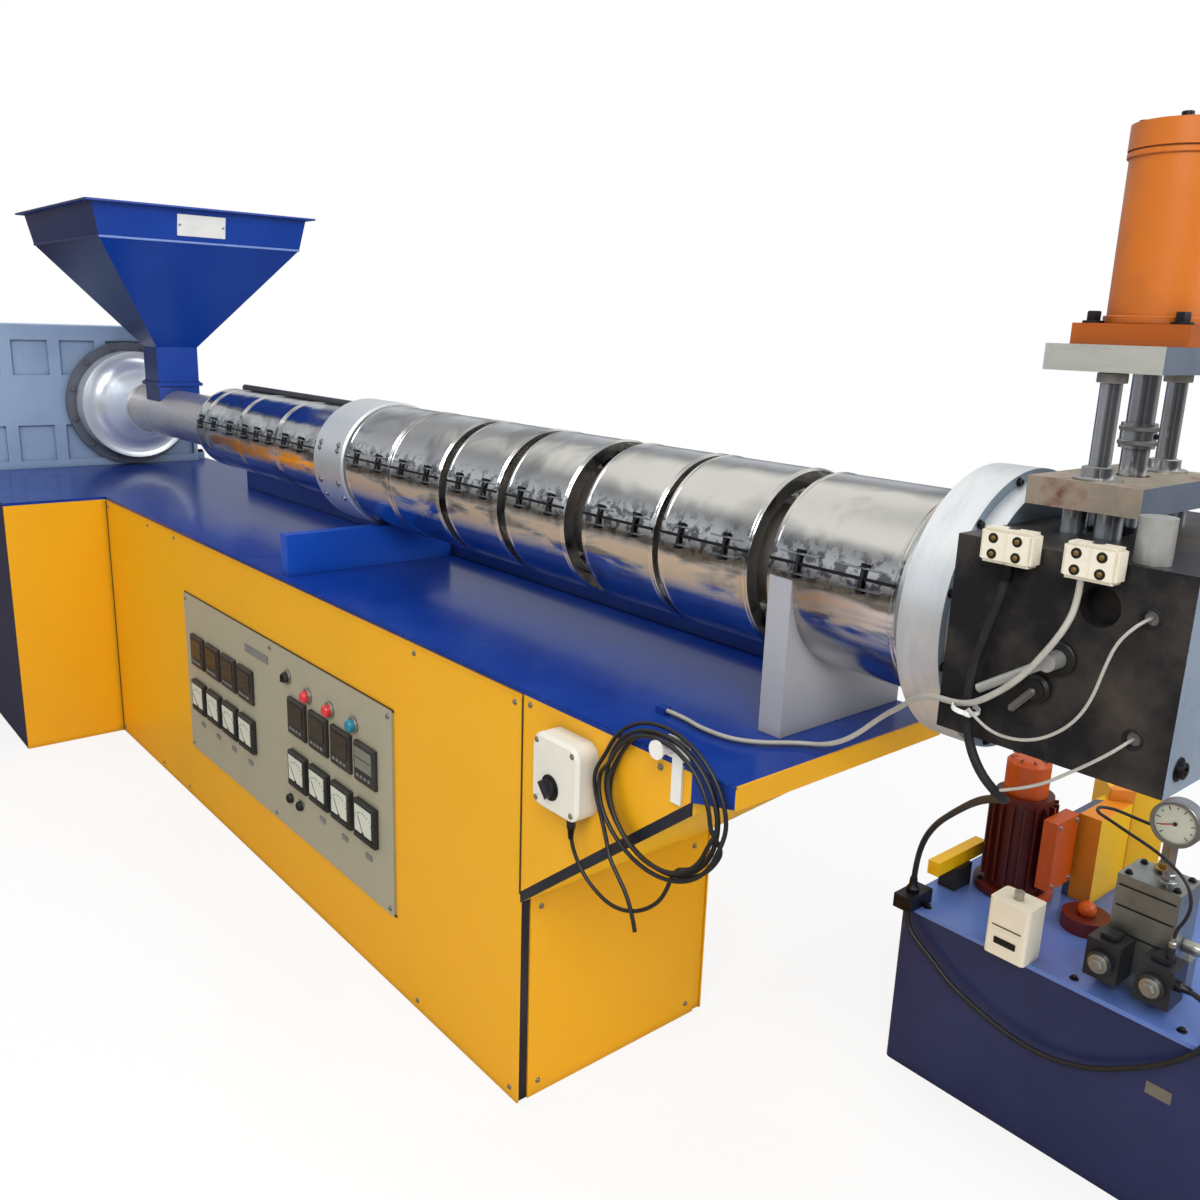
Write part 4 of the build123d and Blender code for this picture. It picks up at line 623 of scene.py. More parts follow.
class Shape:
    """One mesh piece that is put together from simple forms, in millimetres.

    Args:
        name: The piece's name.
        shop: Where its materials come from.
        finishes: Its finishes; each form takes one by its place in this list.
    """

    def __init__(self, name: str, shop: MaterialShop, *finishes: str) -> None:
        """Start an empty mesh."""
        self.name, self.shop, self.finishes = name, shop, finishes
        self.mesh = bmesh.new()

    def _keep(self, verts: list, matrix: Matrix, finish: int) -> None:
        """Move a new form into place and give it its finish.

        Args:
            verts: The form's corners.
            matrix: Where it goes.
            finish: Place of its finish in the list.
        """
        bmesh.ops.transform(self.mesh, matrix=matrix, verts=verts)
        for face in {f for v in verts for f in v.link_faces}:
            face.material_index = finish

    def _stand(self, rings: list, foot: Point, axis: Point, finish: int) -> None:
        """Stand rings of corners on a foot, with their height along an axis."""
        turn = Vector(UP).rotation_difference(Vector(axis).normalized()).to_matrix().to_4x4()
        self._keep([v for ring in rings for v in ring], Matrix.Translation(Vector(foot)) @ turn, finish)

    def box(self, centre: Point, size: tuple, finish: int = 0, turn: Matrix | None = None,
            bevel: float = 0.0) -> None:
        """Add a box with soft edges.

        Args:
            centre: Its middle.
            size: Its lengths along its own axes.
            finish: Place of its finish in the list.
            turn: Its rotation.
            bevel: Width of its edges' bevel.
        """
        made = bmesh.ops.create_cube(self.mesh, size=1.0)["verts"]
        bmesh.ops.scale(self.mesh, vec=Vector(size), verts=made)
        if bevel:
            edges = list({e for v in made for e in v.link_edges})
            result = bmesh.ops.bevel(self.mesh, geom=edges, offset=bevel, segments=2, affect="EDGES")
            made = list({v for v in made if v.is_valid} | set(result["verts"]))
        self._keep(made, Matrix.Translation(Vector(centre)) @ (turn or Matrix()).to_4x4(), finish)

    def lathe(self, foot: Point, axis: Point, profile: tuple, finish: int = 0,
              sides: int = 24) -> None:
        """Add a closed form turned from a profile.

        Args:
            foot: Where the profile's height is zero.
            axis: Direction of the height.
            profile: Radius and height of each ring, from the foot up.
            finish: Place of its finish in the list.
            sides: Faces around it.
        """
        rings = []
        for radius, height in profile:
            rings.append([self.mesh.verts.new((radius * cos(tau * i / sides),
                                               radius * sin(tau * i / sides), height))
                          for i in range(sides)])
        for low, high in zip(rings, rings[1:]):
            for i in range(sides):
                j = (i + 1) % sides
                self.mesh.faces.new((low[i], low[j], high[j], high[i]))
        self.mesh.faces.new(rings[0][::-1])
        self.mesh.faces.new(rings[-1])
        self._stand(rings, foot, axis, finish)

    def hoop(self, centre: Point, axis: Point, inner: float, outer: float, low: float,
             high: float, finish: int = 0, sides: int = 72, lip: float = 1.0) -> None:
        """Add a ring with soft corners.

        Args:
            centre: A point on its axis.
            axis: Its direction.
            inner: Inner radius.
            outer: Outer radius.
            low: Start along the axis.
            high: End along the axis.
            finish: Place of its finish in the list.
            sides: Faces around it.
            lip: Width of its corners.
        """
        section = [(inner, low), (outer - lip, low), (outer, low + lip), (outer, high - lip),
                   (outer - lip, high), (inner, high)]
        rings = [[self.mesh.verts.new((r * cos(tau * i / sides), r * sin(tau * i / sides), h))
                  for r, h in section] for i in range(sides)]
        for i in range(sides):
            ring, after = rings[i], rings[(i + 1) % sides]
            for k in range(len(section)):
                m = (k + 1) % len(section)
                self.mesh.faces.new((ring[k], after[k], after[m], ring[m]))
        self._stand(rings, centre, axis, finish)

    def bolt(self, foot: Point, axis: Point, radius: float, height: float, finish: int = 0,
             socket: bool = False) -> None:
        """Add a bolt head on a washer.

        Args:
            foot: Where the washer sits.
            axis: Direction that the head points in.
            radius: The head's radius.
            height: The head's height.
            finish: Place of its finish in the list.
            socket: Whether it is round with a socket, not six-sided.
        """
        self.lathe(foot, axis, ((radius * 1.45, 0), (radius * 1.45, height * 0.16),
                                (radius * 1.35, height * 0.22)), finish, 20)
        sides = 20 if socket else 6
        crown = ((radius, height * 0.2), (radius, height * 0.9), (radius * 0.88, height))
        if socket:
            crown += ((radius * 0.5, height), (radius * 0.45, height * 0.6))
        self.lathe(foot, axis, crown, finish, sides)

    def bolts(self, xs: tuple, ys: tuple, zs: tuple, axis: Point, radius: float, height: float,
              finish: int = 0, socket: bool = False) -> None:
        """Add a bolt at every mix of the places along X, Y and Z."""
        for foot in product(xs, ys, zs):
            self.bolt(foot, axis, radius, height, finish, socket)

    def bolt_circle(self, x: float, count: int, circle: float, radius: float, height: float,
                    socket: bool = False) -> None:
        """Add bolts round the barrel's axis.

        Args:
            x: Place of their washers along the axis.
            count: Number of bolts.
            circle: Radius of the circle they stand on.
            radius: Each head's radius.
            height: Each head's height.
            socket: Whether they are round with a socket.
        """
        for i in range(count):
            foot = Vector((x, AXIS_Y, AXIS_Z)) + spoke(360 * (i + 0.5) / count) * circle
            self.bolt(foot, END, radius, height, 0, socket)

    def mark(self, centre: Point, degrees: float, reach: float, size: tuple, finish: int) -> None:
        """Add a thin bar on a dial, some way from its centre and pointing away from it.

        Args:
            centre: The dial's centre.
            degrees: Direction, from +X up.
            reach: Distance of the bar's middle.
            size: Its lengths across, out of the dial and along.
            finish: Place of its finish in the list.
        """
        angle = radians(degrees)
        out = Vector((cos(angle), 0, sin(angle)))
        self.box(Vector(centre) + out * reach, size, finish, Matrix.Rotation(pi / 2 - angle, 3, "Y"))

    def done(self, body: Body = Body.MACHINE, slot: str = "", replaces: tuple = (),
             soft: float = 35.0) -> bpy.types.Object:
        """Turn the forms into an object that rides on a body.

        Args:
            body: The body it rides on.
            slot: Not used.
            replaces: CAD nodes it stands for.
            soft: Angle in degrees under which edges are smooth.

        Returns:
            The object.
        """
        bmesh.ops.recalc_face_normals(self.mesh, faces=self.mesh.faces)
        bmesh.ops.scale(self.mesh, vec=(MM, MM, MM), verts=self.mesh.verts)
        data = bpy.data.meshes.new(self.name)
        self.mesh.to_mesh(data)
        self.mesh.free()
        for polygon in data.polygons:
            polygon.use_smooth = True
        data.set_sharp_from_angle(angle=radians(soft))
        for finish in self.finishes:
            data.materials.append(self.shop.get(finish))
        made = link_object(self.name, data)
        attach(made, body.value)
        if replaces:
            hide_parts(*replaces)
        LOG.info("piece %s: %d faces", self.name, len(data.polygons))
        return made


@dataclass(frozen=True)
class CordPlan:
    """Route and facts of one cord.

    Args:
        name: The piece's name.
        nodes: CAD nodes it stands for.
        points: Its control points, in millimetres.
        diameter: Its diameter in millimetres.
        length: Its length in metres; not used.
        finish: Its finish.
        far_end: What it ends in; not used.
        stiffness: How it bends; not used.
        lay: How it lies; not used.
    """

    name: str
    nodes: tuple
    points: tuple
    diameter: float
    length: float
    finish: str
    far_end: str
    stiffness: str = "limp"
    lay: str = "loose"


# The coil's levels as depth and share of the inner turn, its turns as centre and reach in X and Z,
# its angles in degrees, and the share of a turn in which the cable changes level
COIL_LEVELS = ((-264, 0.85), (-273, 0.62), (-281, 0.85), (-265, 0.30), (-279, 0.22), (-278, 0.05))
COIL_OUTER, COIL_INNER = (1611.5, 799.5, 149.5, 126.5), (1622.0, 798.0, 108.0, 102.0)
COIL_DEGREES = range(19 * 15, 135 * 15, 15)
COIL_SHIFT = 0.16


def coil_points() -> tuple:
    """Work out the turns of the spare cable on its hook.

    Returns:
        Points that go round the flat coil, each turn at its own depth and size.
    """
    levels = COIL_LEVELS
    points = []
    for angle in COIL_DEGREES:
        turn = radians(angle)
        place = (angle - 180.0) / 360.0 - 1.0
        index = min(max(int(place + 0.5), 0), len(levels) - 1)
        blend = min(max((place - index) / COIL_SHIFT + 0.5, 0.0), 1.0) if index + 1 < len(levels) else 0.0
        if place < index and index:
            index, blend = index - 1, min(max((place - index) / COIL_SHIFT + 0.5, 0.0), 1.0)
        after = min(index + 1, len(levels) - 1)
        blend = blend * blend * (3 - 2 * blend)
        depth = levels[index][0] * (1 - blend) + levels[after][0] * blend
        share = levels[index][1] * (1 - blend) + levels[after][1] * blend
        outer, inner = ((x + across * cos(turn), z + above * sin(turn))
                        for x, z, across, above in (COIL_OUTER, COIL_INNER))
        points.append((outer[0] * (1 - share) + inner[0] * share, depth,
                       outer[1] * (1 - share) + inner[1] * share))
    return tuple(points)


SWITCH_LOOP = (
    (1413, -278.5, 677), (1413, -278.5, 655), (1424, -276, 625), (1447, -274, 598),
    (1478, -272, 581), (1510, -272, 574), (1544, -272, 578), (1580, -272, 593),
    (1614, -272, 618), (1638, -271, 648))
SWITCH_TAIL = (
    (1510, -281, 688), (1521, -285, 668), (1544, -287, 648), (1567, -287, 625),
    (1583, -287, 596), (1592, -287, 568))
CORDS = (
    CordPlan("switch_cable", ("switch_cable_loop", "switch_cable_coil", "switch_cable_tail"),
             SWITCH_LOOP + coil_points() + SWITCH_TAIL, 7.0, 4.10, "hose_black", "bare", lay="coiled"),
    CordPlan("die_deck_leads", ("deck_leads",), (
        (1484, -134, 877), (1527, -134, 877), (1573, -145, 877), (1635, -141, 877),
        (1674, -114, 877), (1711, -62, 877), (1745, -45, 880), (1793, -45, 907),
        (1845, -45, 960), (1894, -82, 995), (1938, -120, 1028), (1976, -140, 1050),
        (2044, -172, 1062), (2084, -188, 1088), (2119, -188, 1121), (2144, -186, 1160),
        (2156, -172, 1190), (2158, -158, 1216), (2158, -158, 1244)),
        8.0, 0.922, "lead_light", "object"),
    CordPlan("upper_sensor_lead", ("sensor_lead_upper",), (
        (2232, -134, 1212), (2232, -147, 1212), (2224, -160, 1203), (2211, -166, 1183),
        (2203, -168, 1152), (2196, -168, 1118), (2184, -168, 1089), (2165, -170, 1065),
        (2137, -174, 1046), (2103, -178, 1040), (2074, -181, 1048), (2055, -182, 1064)),
        4.0, 0.305, "lead_light", "bare"),
    CordPlan("lower_sensor_lead", ("sensor_lead_lower",), (
        (2234, -134, 1071.5), (2234, -147, 1071.5), (2226, -160, 1061), (2208, -165, 1043),
        (2182, -165, 1020), (2155, -165, 997), (2127, -165, 980), (2101, -165, 968)),
        4.0, 0.188, "lead_light", "bare"),
    CordPlan("die_head_cable", ("head_cable",), (
        (2068, -156, 1244), (2068, -156, 1214), (2056, -157, 1168), (2042, -158, 1115),
        (2039, -158, 1060), (2046, -156, 1012), (2064, -152, 976), (2082, -138, 950),
        (2080, -105, 930), (2052, -62, 910), (1985, 20, 862), (1914, 118, 802),
        (1850, 210, 745), (1775, 300, 676), (1697, 390, 600), (1645, 440, 530),
        (1620, 464, 456), (1620, 464, 400)), 12.0, 1.292, "hose_black", "object"),
    CordPlan("tank_front_cable", ("tank_cable",), (
        (1628, 441, 370), (1628, 441, 345), (1642, 440, 322), (1670, 440, 303),
        (1702, 440, 283), (1740, 440, 256), (1785, 440, 240), (1828, 440, 226),
        (1880, 440, 215), (1939, 440, 212), (1988, 440, 223), (2033, 440, 240),
        (2078, 440, 268), (2139, 440, 312), (2174, 440, 349), (2196, 441, 378),
        (2201, 450, 410), (2186, 472, 434), (2158, 490, 440), (2125, 490, 440)),
        10.0, 0.819, "hose_black", "object"),
    CordPlan("cylinder_hose", ("hydraulic_hose",), (
        (2095, 580, 470), (2175, 580, 470), (2245, 566, 515), (2300, 520, 620),
        (2335, 440, 790), (2352, 330, 1030), (2350, 230, 1290), (2336, 160, 1500),
        (2326, 120, 1602), (2292, 103, 1672), (2240, 100, 1708), (2162, 100, 1708)),
        18.0, 1.569, "hose_black", "object", "stiff"),
    CordPlan("small_gauge_hose", ("gauge_hose",), (
        (2020, 602, 659), (1992, 602, 659), (1962, 600, 662), (1934, 596, 666),
        (1914, 576, 669), (1922, 552, 668), (1952, 545, 664), (1980, 538, 659),
        (2013, 530, 654), (2046, 519, 650), (2080, 505, 642), (2110, 498, 626),
        (2124, 496, 592), (2118, 498, 558), (2104, 500, 530), (2104, 500, 500)),
        6.0, 0.467, "hose_black", "object"),
)


@dataclass
class CordSet:
    """Makes every cord as one smooth spline.

    Args:
        shop: Where the materials come from.
    """

    shop: MaterialShop

    def make(self, plan: CordPlan) -> bpy.types.Object:
        """Args:
            plan: Its route and facts.

        Returns:
            The curve object.
        """
        curve = bpy.data.curves.new(plan.name, "CURVE")
        curve.dimensions = "3D"
        curve.resolution_u = 6
        curve.bevel_depth = plan.diameter / 2 * MM
        curve.bevel_resolution = 3
        curve.use_fill_caps = True
        spline = curve.splines.new("NURBS")
        spline.points.add(len(plan.points) - 1)
        for point, place in zip(spline.points, plan.points):
            point.co = (*(value * MM for value in place), 1.0)
        spline.order_u = 3
        spline.use_endpoint_u = True
        curve.materials.append(self.shop.get(plan.finish))
        made = link_object(plan.name, curve)
        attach(made, Body.MACHINE.value)
        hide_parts(*plan.nodes)
        LOG.info("cord %s: %d points", plan.name, len(plan.points))
        return made


@dataclass
class Fittings:
    """A group of detail pieces.

    Args:
        shop: Where the materials come from.
    """

    shop: MaterialShop

    def shape(self, name: str, *finishes: str) -> Shape:
        """Start one piece of the group."""
        return Shape(name, self.shop, *finishes)


@dataclass
class PanelInstruments(Fittings):
    """Faces of the controllers, meters, lamps and small plates on the control panel.

    Args:
        panel_y: The panel's front.
        xs: Middles of the controllers and of the meters.
        controller_z: Middle height of the controllers.
        meter_z: Middle height of the meters.
    """

    panel_y: float = -262.0
    xs: tuple = tuple(x + (i - 1.5) * 119.0 for x in (-204.0, 478.0) for i in range(4))
    controller_z: float = 522.0
    meter_z: float = 380.0

    def controllers(self) -> None:
        """Make the controllers' windows and buttons."""
        face = self.shape("controller_faces", "display_dark", "button_grey", "instrument_black",
                          "window_grey")
        y = self.panel_y - 10.0
        for x in self.xs:
            window = 3 if x == self.xs[-1] else 0
            face.box((x, y - 0.7, self.controller_z + 12), (78, 1.6, 52), window, bevel=0.5)
            for dx in (-27, -9, 9, 27):
                face.box((x + dx, y - 0.9, self.controller_z - 30), (12, 2.2, 8), 1, bevel=0.8)
            face.box((x, y - 1.4, self.controller_z + 13), (70, 0.6, 2.4), 2)
        face.done(slot="instrument_black")

    def meters(self) -> None:
        """Make the meters' scales and needles."""
        dials = self.shape("meter_dials", "dial_white", "ink_black", "meter_case")
        y = self.panel_y - 14.0
        for number, x in enumerate(self.xs):
            dials.box((x, y - 0.5, self.meter_z + 6), (78, 1.4, 66), 0, bevel=0.5)
            dials.box((x, y - 1.0, self.meter_z - 37), (86, 2.2, 14), 2, bevel=0.8)
            foot = (x, y - 1.5, self.meter_z - 24)
            for tick in range(9):
                dials.mark(foot, 40 + tick * 12.5, 50, (1.2, 0.6, 4 if tick % 2 else 7), 1)
            dials.mark(foot, 138 - 2.5 * number, 22, (1.4, 0.8, 44), 1)
            dials.lathe((x, y - 0.8, self.meter_z - 26), FRONT, ((5, 0), (5, 1.6), (3.6, 2.4)), 2, 20)
        dials.done(slot="meter_white")

    def lamps(self) -> None:
        """Make the lamps' lenses and the key switch."""
        lamps = self.shape("lamp_lenses", "lamp_red", "lamp_teal", "zinc", "ink_black")
        dome = ((15.0, 0), (15.0, 13), (14.0, 15.6), (11.0, 18), (6.5, 19.6), (1.4, 20.2))
        for x, finish in ((359, 0), (478, 0), (597, 1)):
            lamps.hoop((x, self.panel_y - 0.3, 600), FRONT, 15.2, 20.5, 0, 6, 2, 40)
            lamps.lathe((x, self.panel_y - 1.5, 600), FRONT, dome, finish, 28)
        lamps.hoop((245, self.panel_y - 0.3, 618), FRONT, 13.5, 18.5, 0, 5, 2, 40)
        lamps.box((245, self.panel_y - 18, 618), (4, 7, 20), 3, bevel=1.0)
        lamps.done(slot="lamp_red")

    def plates(self) -> None:
        """Make the small blank plates, knobs and screws."""
        plates = self.shape("panel_plates", "ink_black", "zinc", "button_grey")
        for x in self.xs:
            plates.box((x, self.panel_y - 0.8, 292), (30, 1.8, 14), 2, bevel=0.6)
        plates.box((48, self.panel_y - 0.8, 628), (150, 1.6, 22), 2, bevel=0.5)
        for x in (238, 296):
            plates.lathe((x, self.panel_y, 284), FRONT, ((13, 0), (13, 5), (11, 11), (8, 13)), 0, 20)
        plates.bolts((-474, 140, 754), (self.panel_y,), (206, 669), FRONT, 4.5, 4.0, 1, True)
        plates.done(slot="instrument_black")

    def build(self) -> None:
        """Make every face on the panel."""
        self.controllers()
        self.meters()
        self.lamps()
        self.plates()


@dataclass
class CabinetTrim(Fittings):
    """Seams, screws and edge folds of the cabinets, the deck and the hopper.

    Args:
        deck_top: Height of the deck.
        hopper_x: Middle of the hopper along X.
        hopper_y: Middle of the hopper along Y.
    """

    deck_top: float = 870.0
    hopper_x: float = -1540.0
    hopper_y: float = 100.0

    def cabinets(self) -> None:
        """Make the panels' seams and screws."""
        seams = self.shape("panel_seams", "seam_dark", "panel_yellow")
        seams.box((140, -257.2, 191), (1266, 2.0, 5), 0)
        seams.box((140, -257.2, 684.5), (1266, 2.0, 6), 0)
        seams.box((1240, -257.0, 662), (3, 2.0, 396), 0)
        seams.box((-1236, -257.0, 430), (4, 2.0, 858), 0)
        seams.box((2, -257.6, 857), (2478, 3.0, 4), 1)
        seams.done(slot="frame_dark")
        screws = self.shape("panel_screws", "zinc")
        screws.bolts((-1215, -800, -560, 860, 1215), (-256,), (24, 838), FRONT, 4.0, 3.5, 0, True)
        screws.bolts((1240,), (-205, 209), (30, 420, 836), END, 4.0, 3.5, 0, True)
        screws.bolts((1262, 1600), (-256,), (846,), FRONT, 4.0, 3.5, 0, True)
        screws.done(slot="gauge_steel")

    def deck(self) -> None:
        """Make the deck's front bead and its rear lip."""
        edge = self.shape("deck_edge_bead", "deck_blue", "lip_blue_lit")
        edge.box((258, -257.5, self.deck_top - 2), (3000, 3.0, 4.0), 0, bevel=1.0)
        # The rear lip takes a lighter copy of the deck's blue: painted light.
        for x, length, height in ((-610, 1260, 62), (817, 1594, 34)):
            edge.box((x, 256.5, self.deck_top + height / 2), (length, 5.0, height), 1, bevel=1.5)
        edge.done(slot="deck_blue")

    def hopper(self) -> None:
        """Make the hopper's blank label, its folds and the bolts of its foot."""
        label = self.shape("hopper_label", "tie_white", "zinc")
        label.box((-1114.4, 88, 1787), (2.0, 164, 70), 0, Matrix.Rotation(0.188, 3, "Y"), bevel=0.6)
        label.bolts((-1113.4,), (14, 162), (1787,), (1, 0, -0.19), 3.0, 2.5, 1, True)
        label.done(slot="box_white")
        bead = self.shape("hopper_fold_bead", "hopper_blue", "fold_highlight")
        for side in (-1, 1):
            bead.box((self.hopper_x, self.hopper_y + side * 343.5, 1733), (828, 6, 7), 0, bevel=2.0)
            # The folds at the ±X sides take a pale blue: a painted highlight.
            bead.box((self.hopper_x + side * 414.5, self.hopper_y, 1733), (6, 688, 7), 1, bevel=2.0)
        reach = 74
        bead.bolts((self.hopper_x - reach, self.hopper_x + reach),
                   (self.hopper_y - reach, self.hopper_y + reach), (1245,), UP, 5, 6)
        bead.done(slot="hopper_blue")

    def build(self) -> None:
        """Make the trim pieces."""
        self.cabinets()
        self.deck()
        self.hopper()


@dataclass
class BarrelFittings(Fittings):
    """Bands with their rims, clamps and bolts, and the bolts of the drive end.

    Args:
        feed_bands: Start and length of each band on the feed side.
        main_bands: Start and length of each band on the die side.
        feed_radius: Radius of the bands on the feed side.
        main_radius: Radius of the bands on the die side.
        clamp_at: Angle of the clamps round the barrel, in degrees from +Y up.
        clamp_pitch: Usual distance from one clamp bolt to the next.
    """

    feed_bands: tuple = ((-946.0, 78.0), (-864.0, 266.0), (-594.0, 279.0), (-311.0, 325.0))
    main_bands: tuple = ((180.0, 221.0), (405.0, 225.0), (660.0, 201.0), (891.0, 199.0),
                         (1146.0, 198.0), (1359.0, 211.0), (1613.0, 240.0))
    feed_radius: float = 130.0
    main_radius: float = 157.0
    clamp_at: float = 168.0
    clamp_pitch: float = 110.0

    def _band(self, shape: Shape, start: float, length: float, radius: float) -> None:
        """Add one band's rims, clamp ears, seam and clamp bolts to a shape.

        Args:
            shape: The shape that takes them.
            start: The band's start along the barrel.
            length: The band's length.
            radius: The band's radius.
        """
        middle = Vector((0, AXIS_Y, AXIS_Z))
        shape.hoop(middle, END, radius - 26, radius, start, start + length, 0, 96, 2.0)
        for at in (start + 5, start + length - 11):
            shape.hoop(middle, END, radius - 3, radius + 1.6, at, at + 6, 0, 96, 1.8)
        count = max(1, round(length / self.clamp_pitch))
        xs = [start + length * (i + 0.5) / count for i in range(count)]
        for degrees in (173.5, 162.5):
            place = middle + spoke(degrees) * (radius + 3)
            turn = Matrix.Rotation(radians(degrees), 3, "X")
            for x in xs:
                shape.box((x, place.y, place.z), (length / count * 0.62, 10, 3), 1, turn, 0.8)
        out = spoke(self.clamp_at)
        up = Vector((0, out.z, -out.y))
        seam = middle + out * (radius + 1.5)
        shape.box((start + length / 2, seam.y, seam.z), (length - 6, 4, 5), 2,
                  Matrix.Rotation(radians(self.clamp_at), 3, "X"), 0.8)
        for x in xs:
            place = Vector((x, AXIS_Y, AXIS_Z)) + out * (radius + 4) - up * 17
            shape.lathe(place, up, ((3.2, 0), (3.2, 34)), 2, 12)
            shape.bolt(place, -up, 5.0, 6.0, 2)
            shape.bolt(place + up * 34, up, 5.0, 6.0, 2)

    def build(self) -> None:
        """Make the bands and the drive end's bolts."""
        for name, node, bands, radius in (
                ("feed_bands", "feed_heater_bands", self.feed_bands, self.feed_radius),
                ("main_bands", "main_heater_bands", self.main_bands, self.main_radius)):
            shape = self.shape(name, "band_chrome", "gauge_steel", "bolt_black")
            for start, length in bands:
                self._band(shape, start, length, radius)
            shape.done(slot="band_chrome", replaces=(node,), soft=40)
        drive = self.shape("drive_end_bolts", "ring_grey", "bolt_black")
        drive.bolt_circle(-2058, 12, 233, 8, 11)
        drive.bolts((-2480, -2140), (-548, -528, 388, 408), (898,), UP, 10, 12, 1)
        drive.done(slot="ring_grey")
        collar = self.shape("collar_screws", "gauge_steel")
        for degrees, x in product((-150, -165, 165, 20, 160), (44, 144)):
            out = spoke(degrees)
            collar.bolt(Vector((x, AXIS_Y, AXIS_Z)) + out * 164.6, out, 6, 4, 0, True)
        collar.done(slot="collar_metal")


@dataclass
class DieHead(Fittings):
    """Fittings of the die head and the ram press.

    Args:
        block_front: The die block's front, along Y.
        block_end: The die block's end, along X.
        press_x: Middle of the press along X.
    """

    block_front: float = -140.0
    block_end: float = 2276.0
    press_x: float = 2085.0

    def terminals(self) -> None:
        """Make the ceramic terminal blocks and the tie round the leads."""
        ceramic = self.shape("ceramic_terminals", "ceramic_cream", "ink_black", "brass")
        for x0, x1 in ((2035.0, 2101.0), (2137.0, 2200.0)):
            width, middle = x1 - x0, (x0 + x1) / 2
            ceramic.box((middle, -154, 1265), (width, 28, 42), 0, bevel=4.0)
            for dx, dz in product((-width * 0.24, width * 0.22), (9, -10)):
                ceramic.lathe((middle + dx, -167.4, 1265 + dz), FRONT,
                              ((6.2, 0), (6.2, 0.9), (5.2, 1.1)), 1, 20)
                ceramic.lathe((middle + dx, -168.2, 1265 + dz), FRONT,
                              ((3.0, 0), (3.0, 1.2), (2.2, 1.6)), 2, 12)
            ceramic.box((middle, -167.6, 1265), (3, 1.6, 34), 0, bevel=0.6)
            ceramic.lathe((middle, -150, 1285.6), UP, ((7, 0), (7, 0.8), (5, 1.0)), 1, 20)
        ceramic.done(slot="ceramic_cream", replaces=("terminal_blocks",))
        tie = self.shape("lead_tie", "tie_white")
        tie.hoop((2042, -164, 1056), (0.1, 0, 1), 15.5, 17.5, -3, 3, 0, 32, 0.5)
        tie.box((2054, -178, 1056), (9, 7, 8), 0, bevel=1.2)
        tie.done(slot="box_white")

    def block(self) -> None:
        """Make the die block's screws, outlet ring, bushes and locking lever."""
        head = self.shape("head_screws", "bolt_black", "ink_black", "gauge_steel")
        head.bolt_circle(1958, 12, 196, 4.5, 6, True)
        head.bolts((self.block_end,), (-110, 310), (1043, 1237), END, 10, 8, 0, True)
        head.bolt_circle(self.block_end, 8, 70, 7, 8, True)
        head.hoop((self.block_end, AXIS_Y, AXIS_Z), END, 40.5, 54, 0, 5, 2, 48)
        for x, z in ((2232, 1212), (2234, 1071.5)):
            head.hoop((x, self.block_front + 0.2, z), FRONT, 9.2, 12.5, 0, 1.4, 1, 32, 0.4)
        head.hoop((2138, self.block_front + 0.2, 1142), FRONT, 11.3, 21, 0, 5, 1, 32)
        head.lathe((2118, self.block_front, 1100), FRONT, ((17, 0), (17, 6), (13, 9), (13, 12)), 1, 24)
        head.box((2106, -150, 1084), (9, 12, 44), 2, Matrix.Rotation(0.7, 3, "Y"), 2.5)
        head.done(slot="die_steel")

    def press(self) -> None:
        """Make the cylinder's bolts and rings, the columns' nuts and the rod's coupling."""
        press = self.shape("press_bolts", "bolt_black", "cylinder_orange")
        press.bolts((self.press_x - 54, self.press_x + 54), (AXIS_Y - 54, AXIS_Y + 54), (1526,), UP, 9, 15)
        press.hoop((self.press_x, AXIS_Y, 0), UP, 57, 61, 1722, 1729, 1, 64)
        press.hoop((self.press_x, AXIS_Y, 0), UP, 57, 62, 1526, 1536, 1, 64)
        for angle in (0.4, 1.97, 3.54, 5.11):
            foot = (self.press_x + 46 * cos(angle), AXIS_Y + 46 * sin(angle), 1760.6)
            press.bolt(foot, UP, 7, 7, 0, True)
        press.done(slot="cylinder_orange")
        nuts = self.shape("column_nuts", "zinc")
        for y in (AXIS_Y - 95, AXIS_Y + 95):
            nuts.bolt((self.press_x, y, 1336), UP, 20.5, 17)
            nuts.hoop((self.press_x, y, 0), UP, 12.8, 18, 1455, 1467, 0, 36)
        nuts.done(slot="column_chrome")
        rod = self.shape("rod_rings", "gauge_steel", "bolt_black")
        for low, high in ((1376, 1382), (1394, 1400)):
            rod.hoop((self.press_x, AXIS_Y, 0), UP, 20, 24, low, high, 0, 36)
        rod.bolt((self.press_x + 21, AXIS_Y, 1388), END, 3.5, 4, 1, True)
        rod.done(Body.GATE, slot="column_chrome")

    def build(self) -> None:
        """Make the head's and the press's detail pieces."""
        self.terminals()
        self.block()
        self.press()


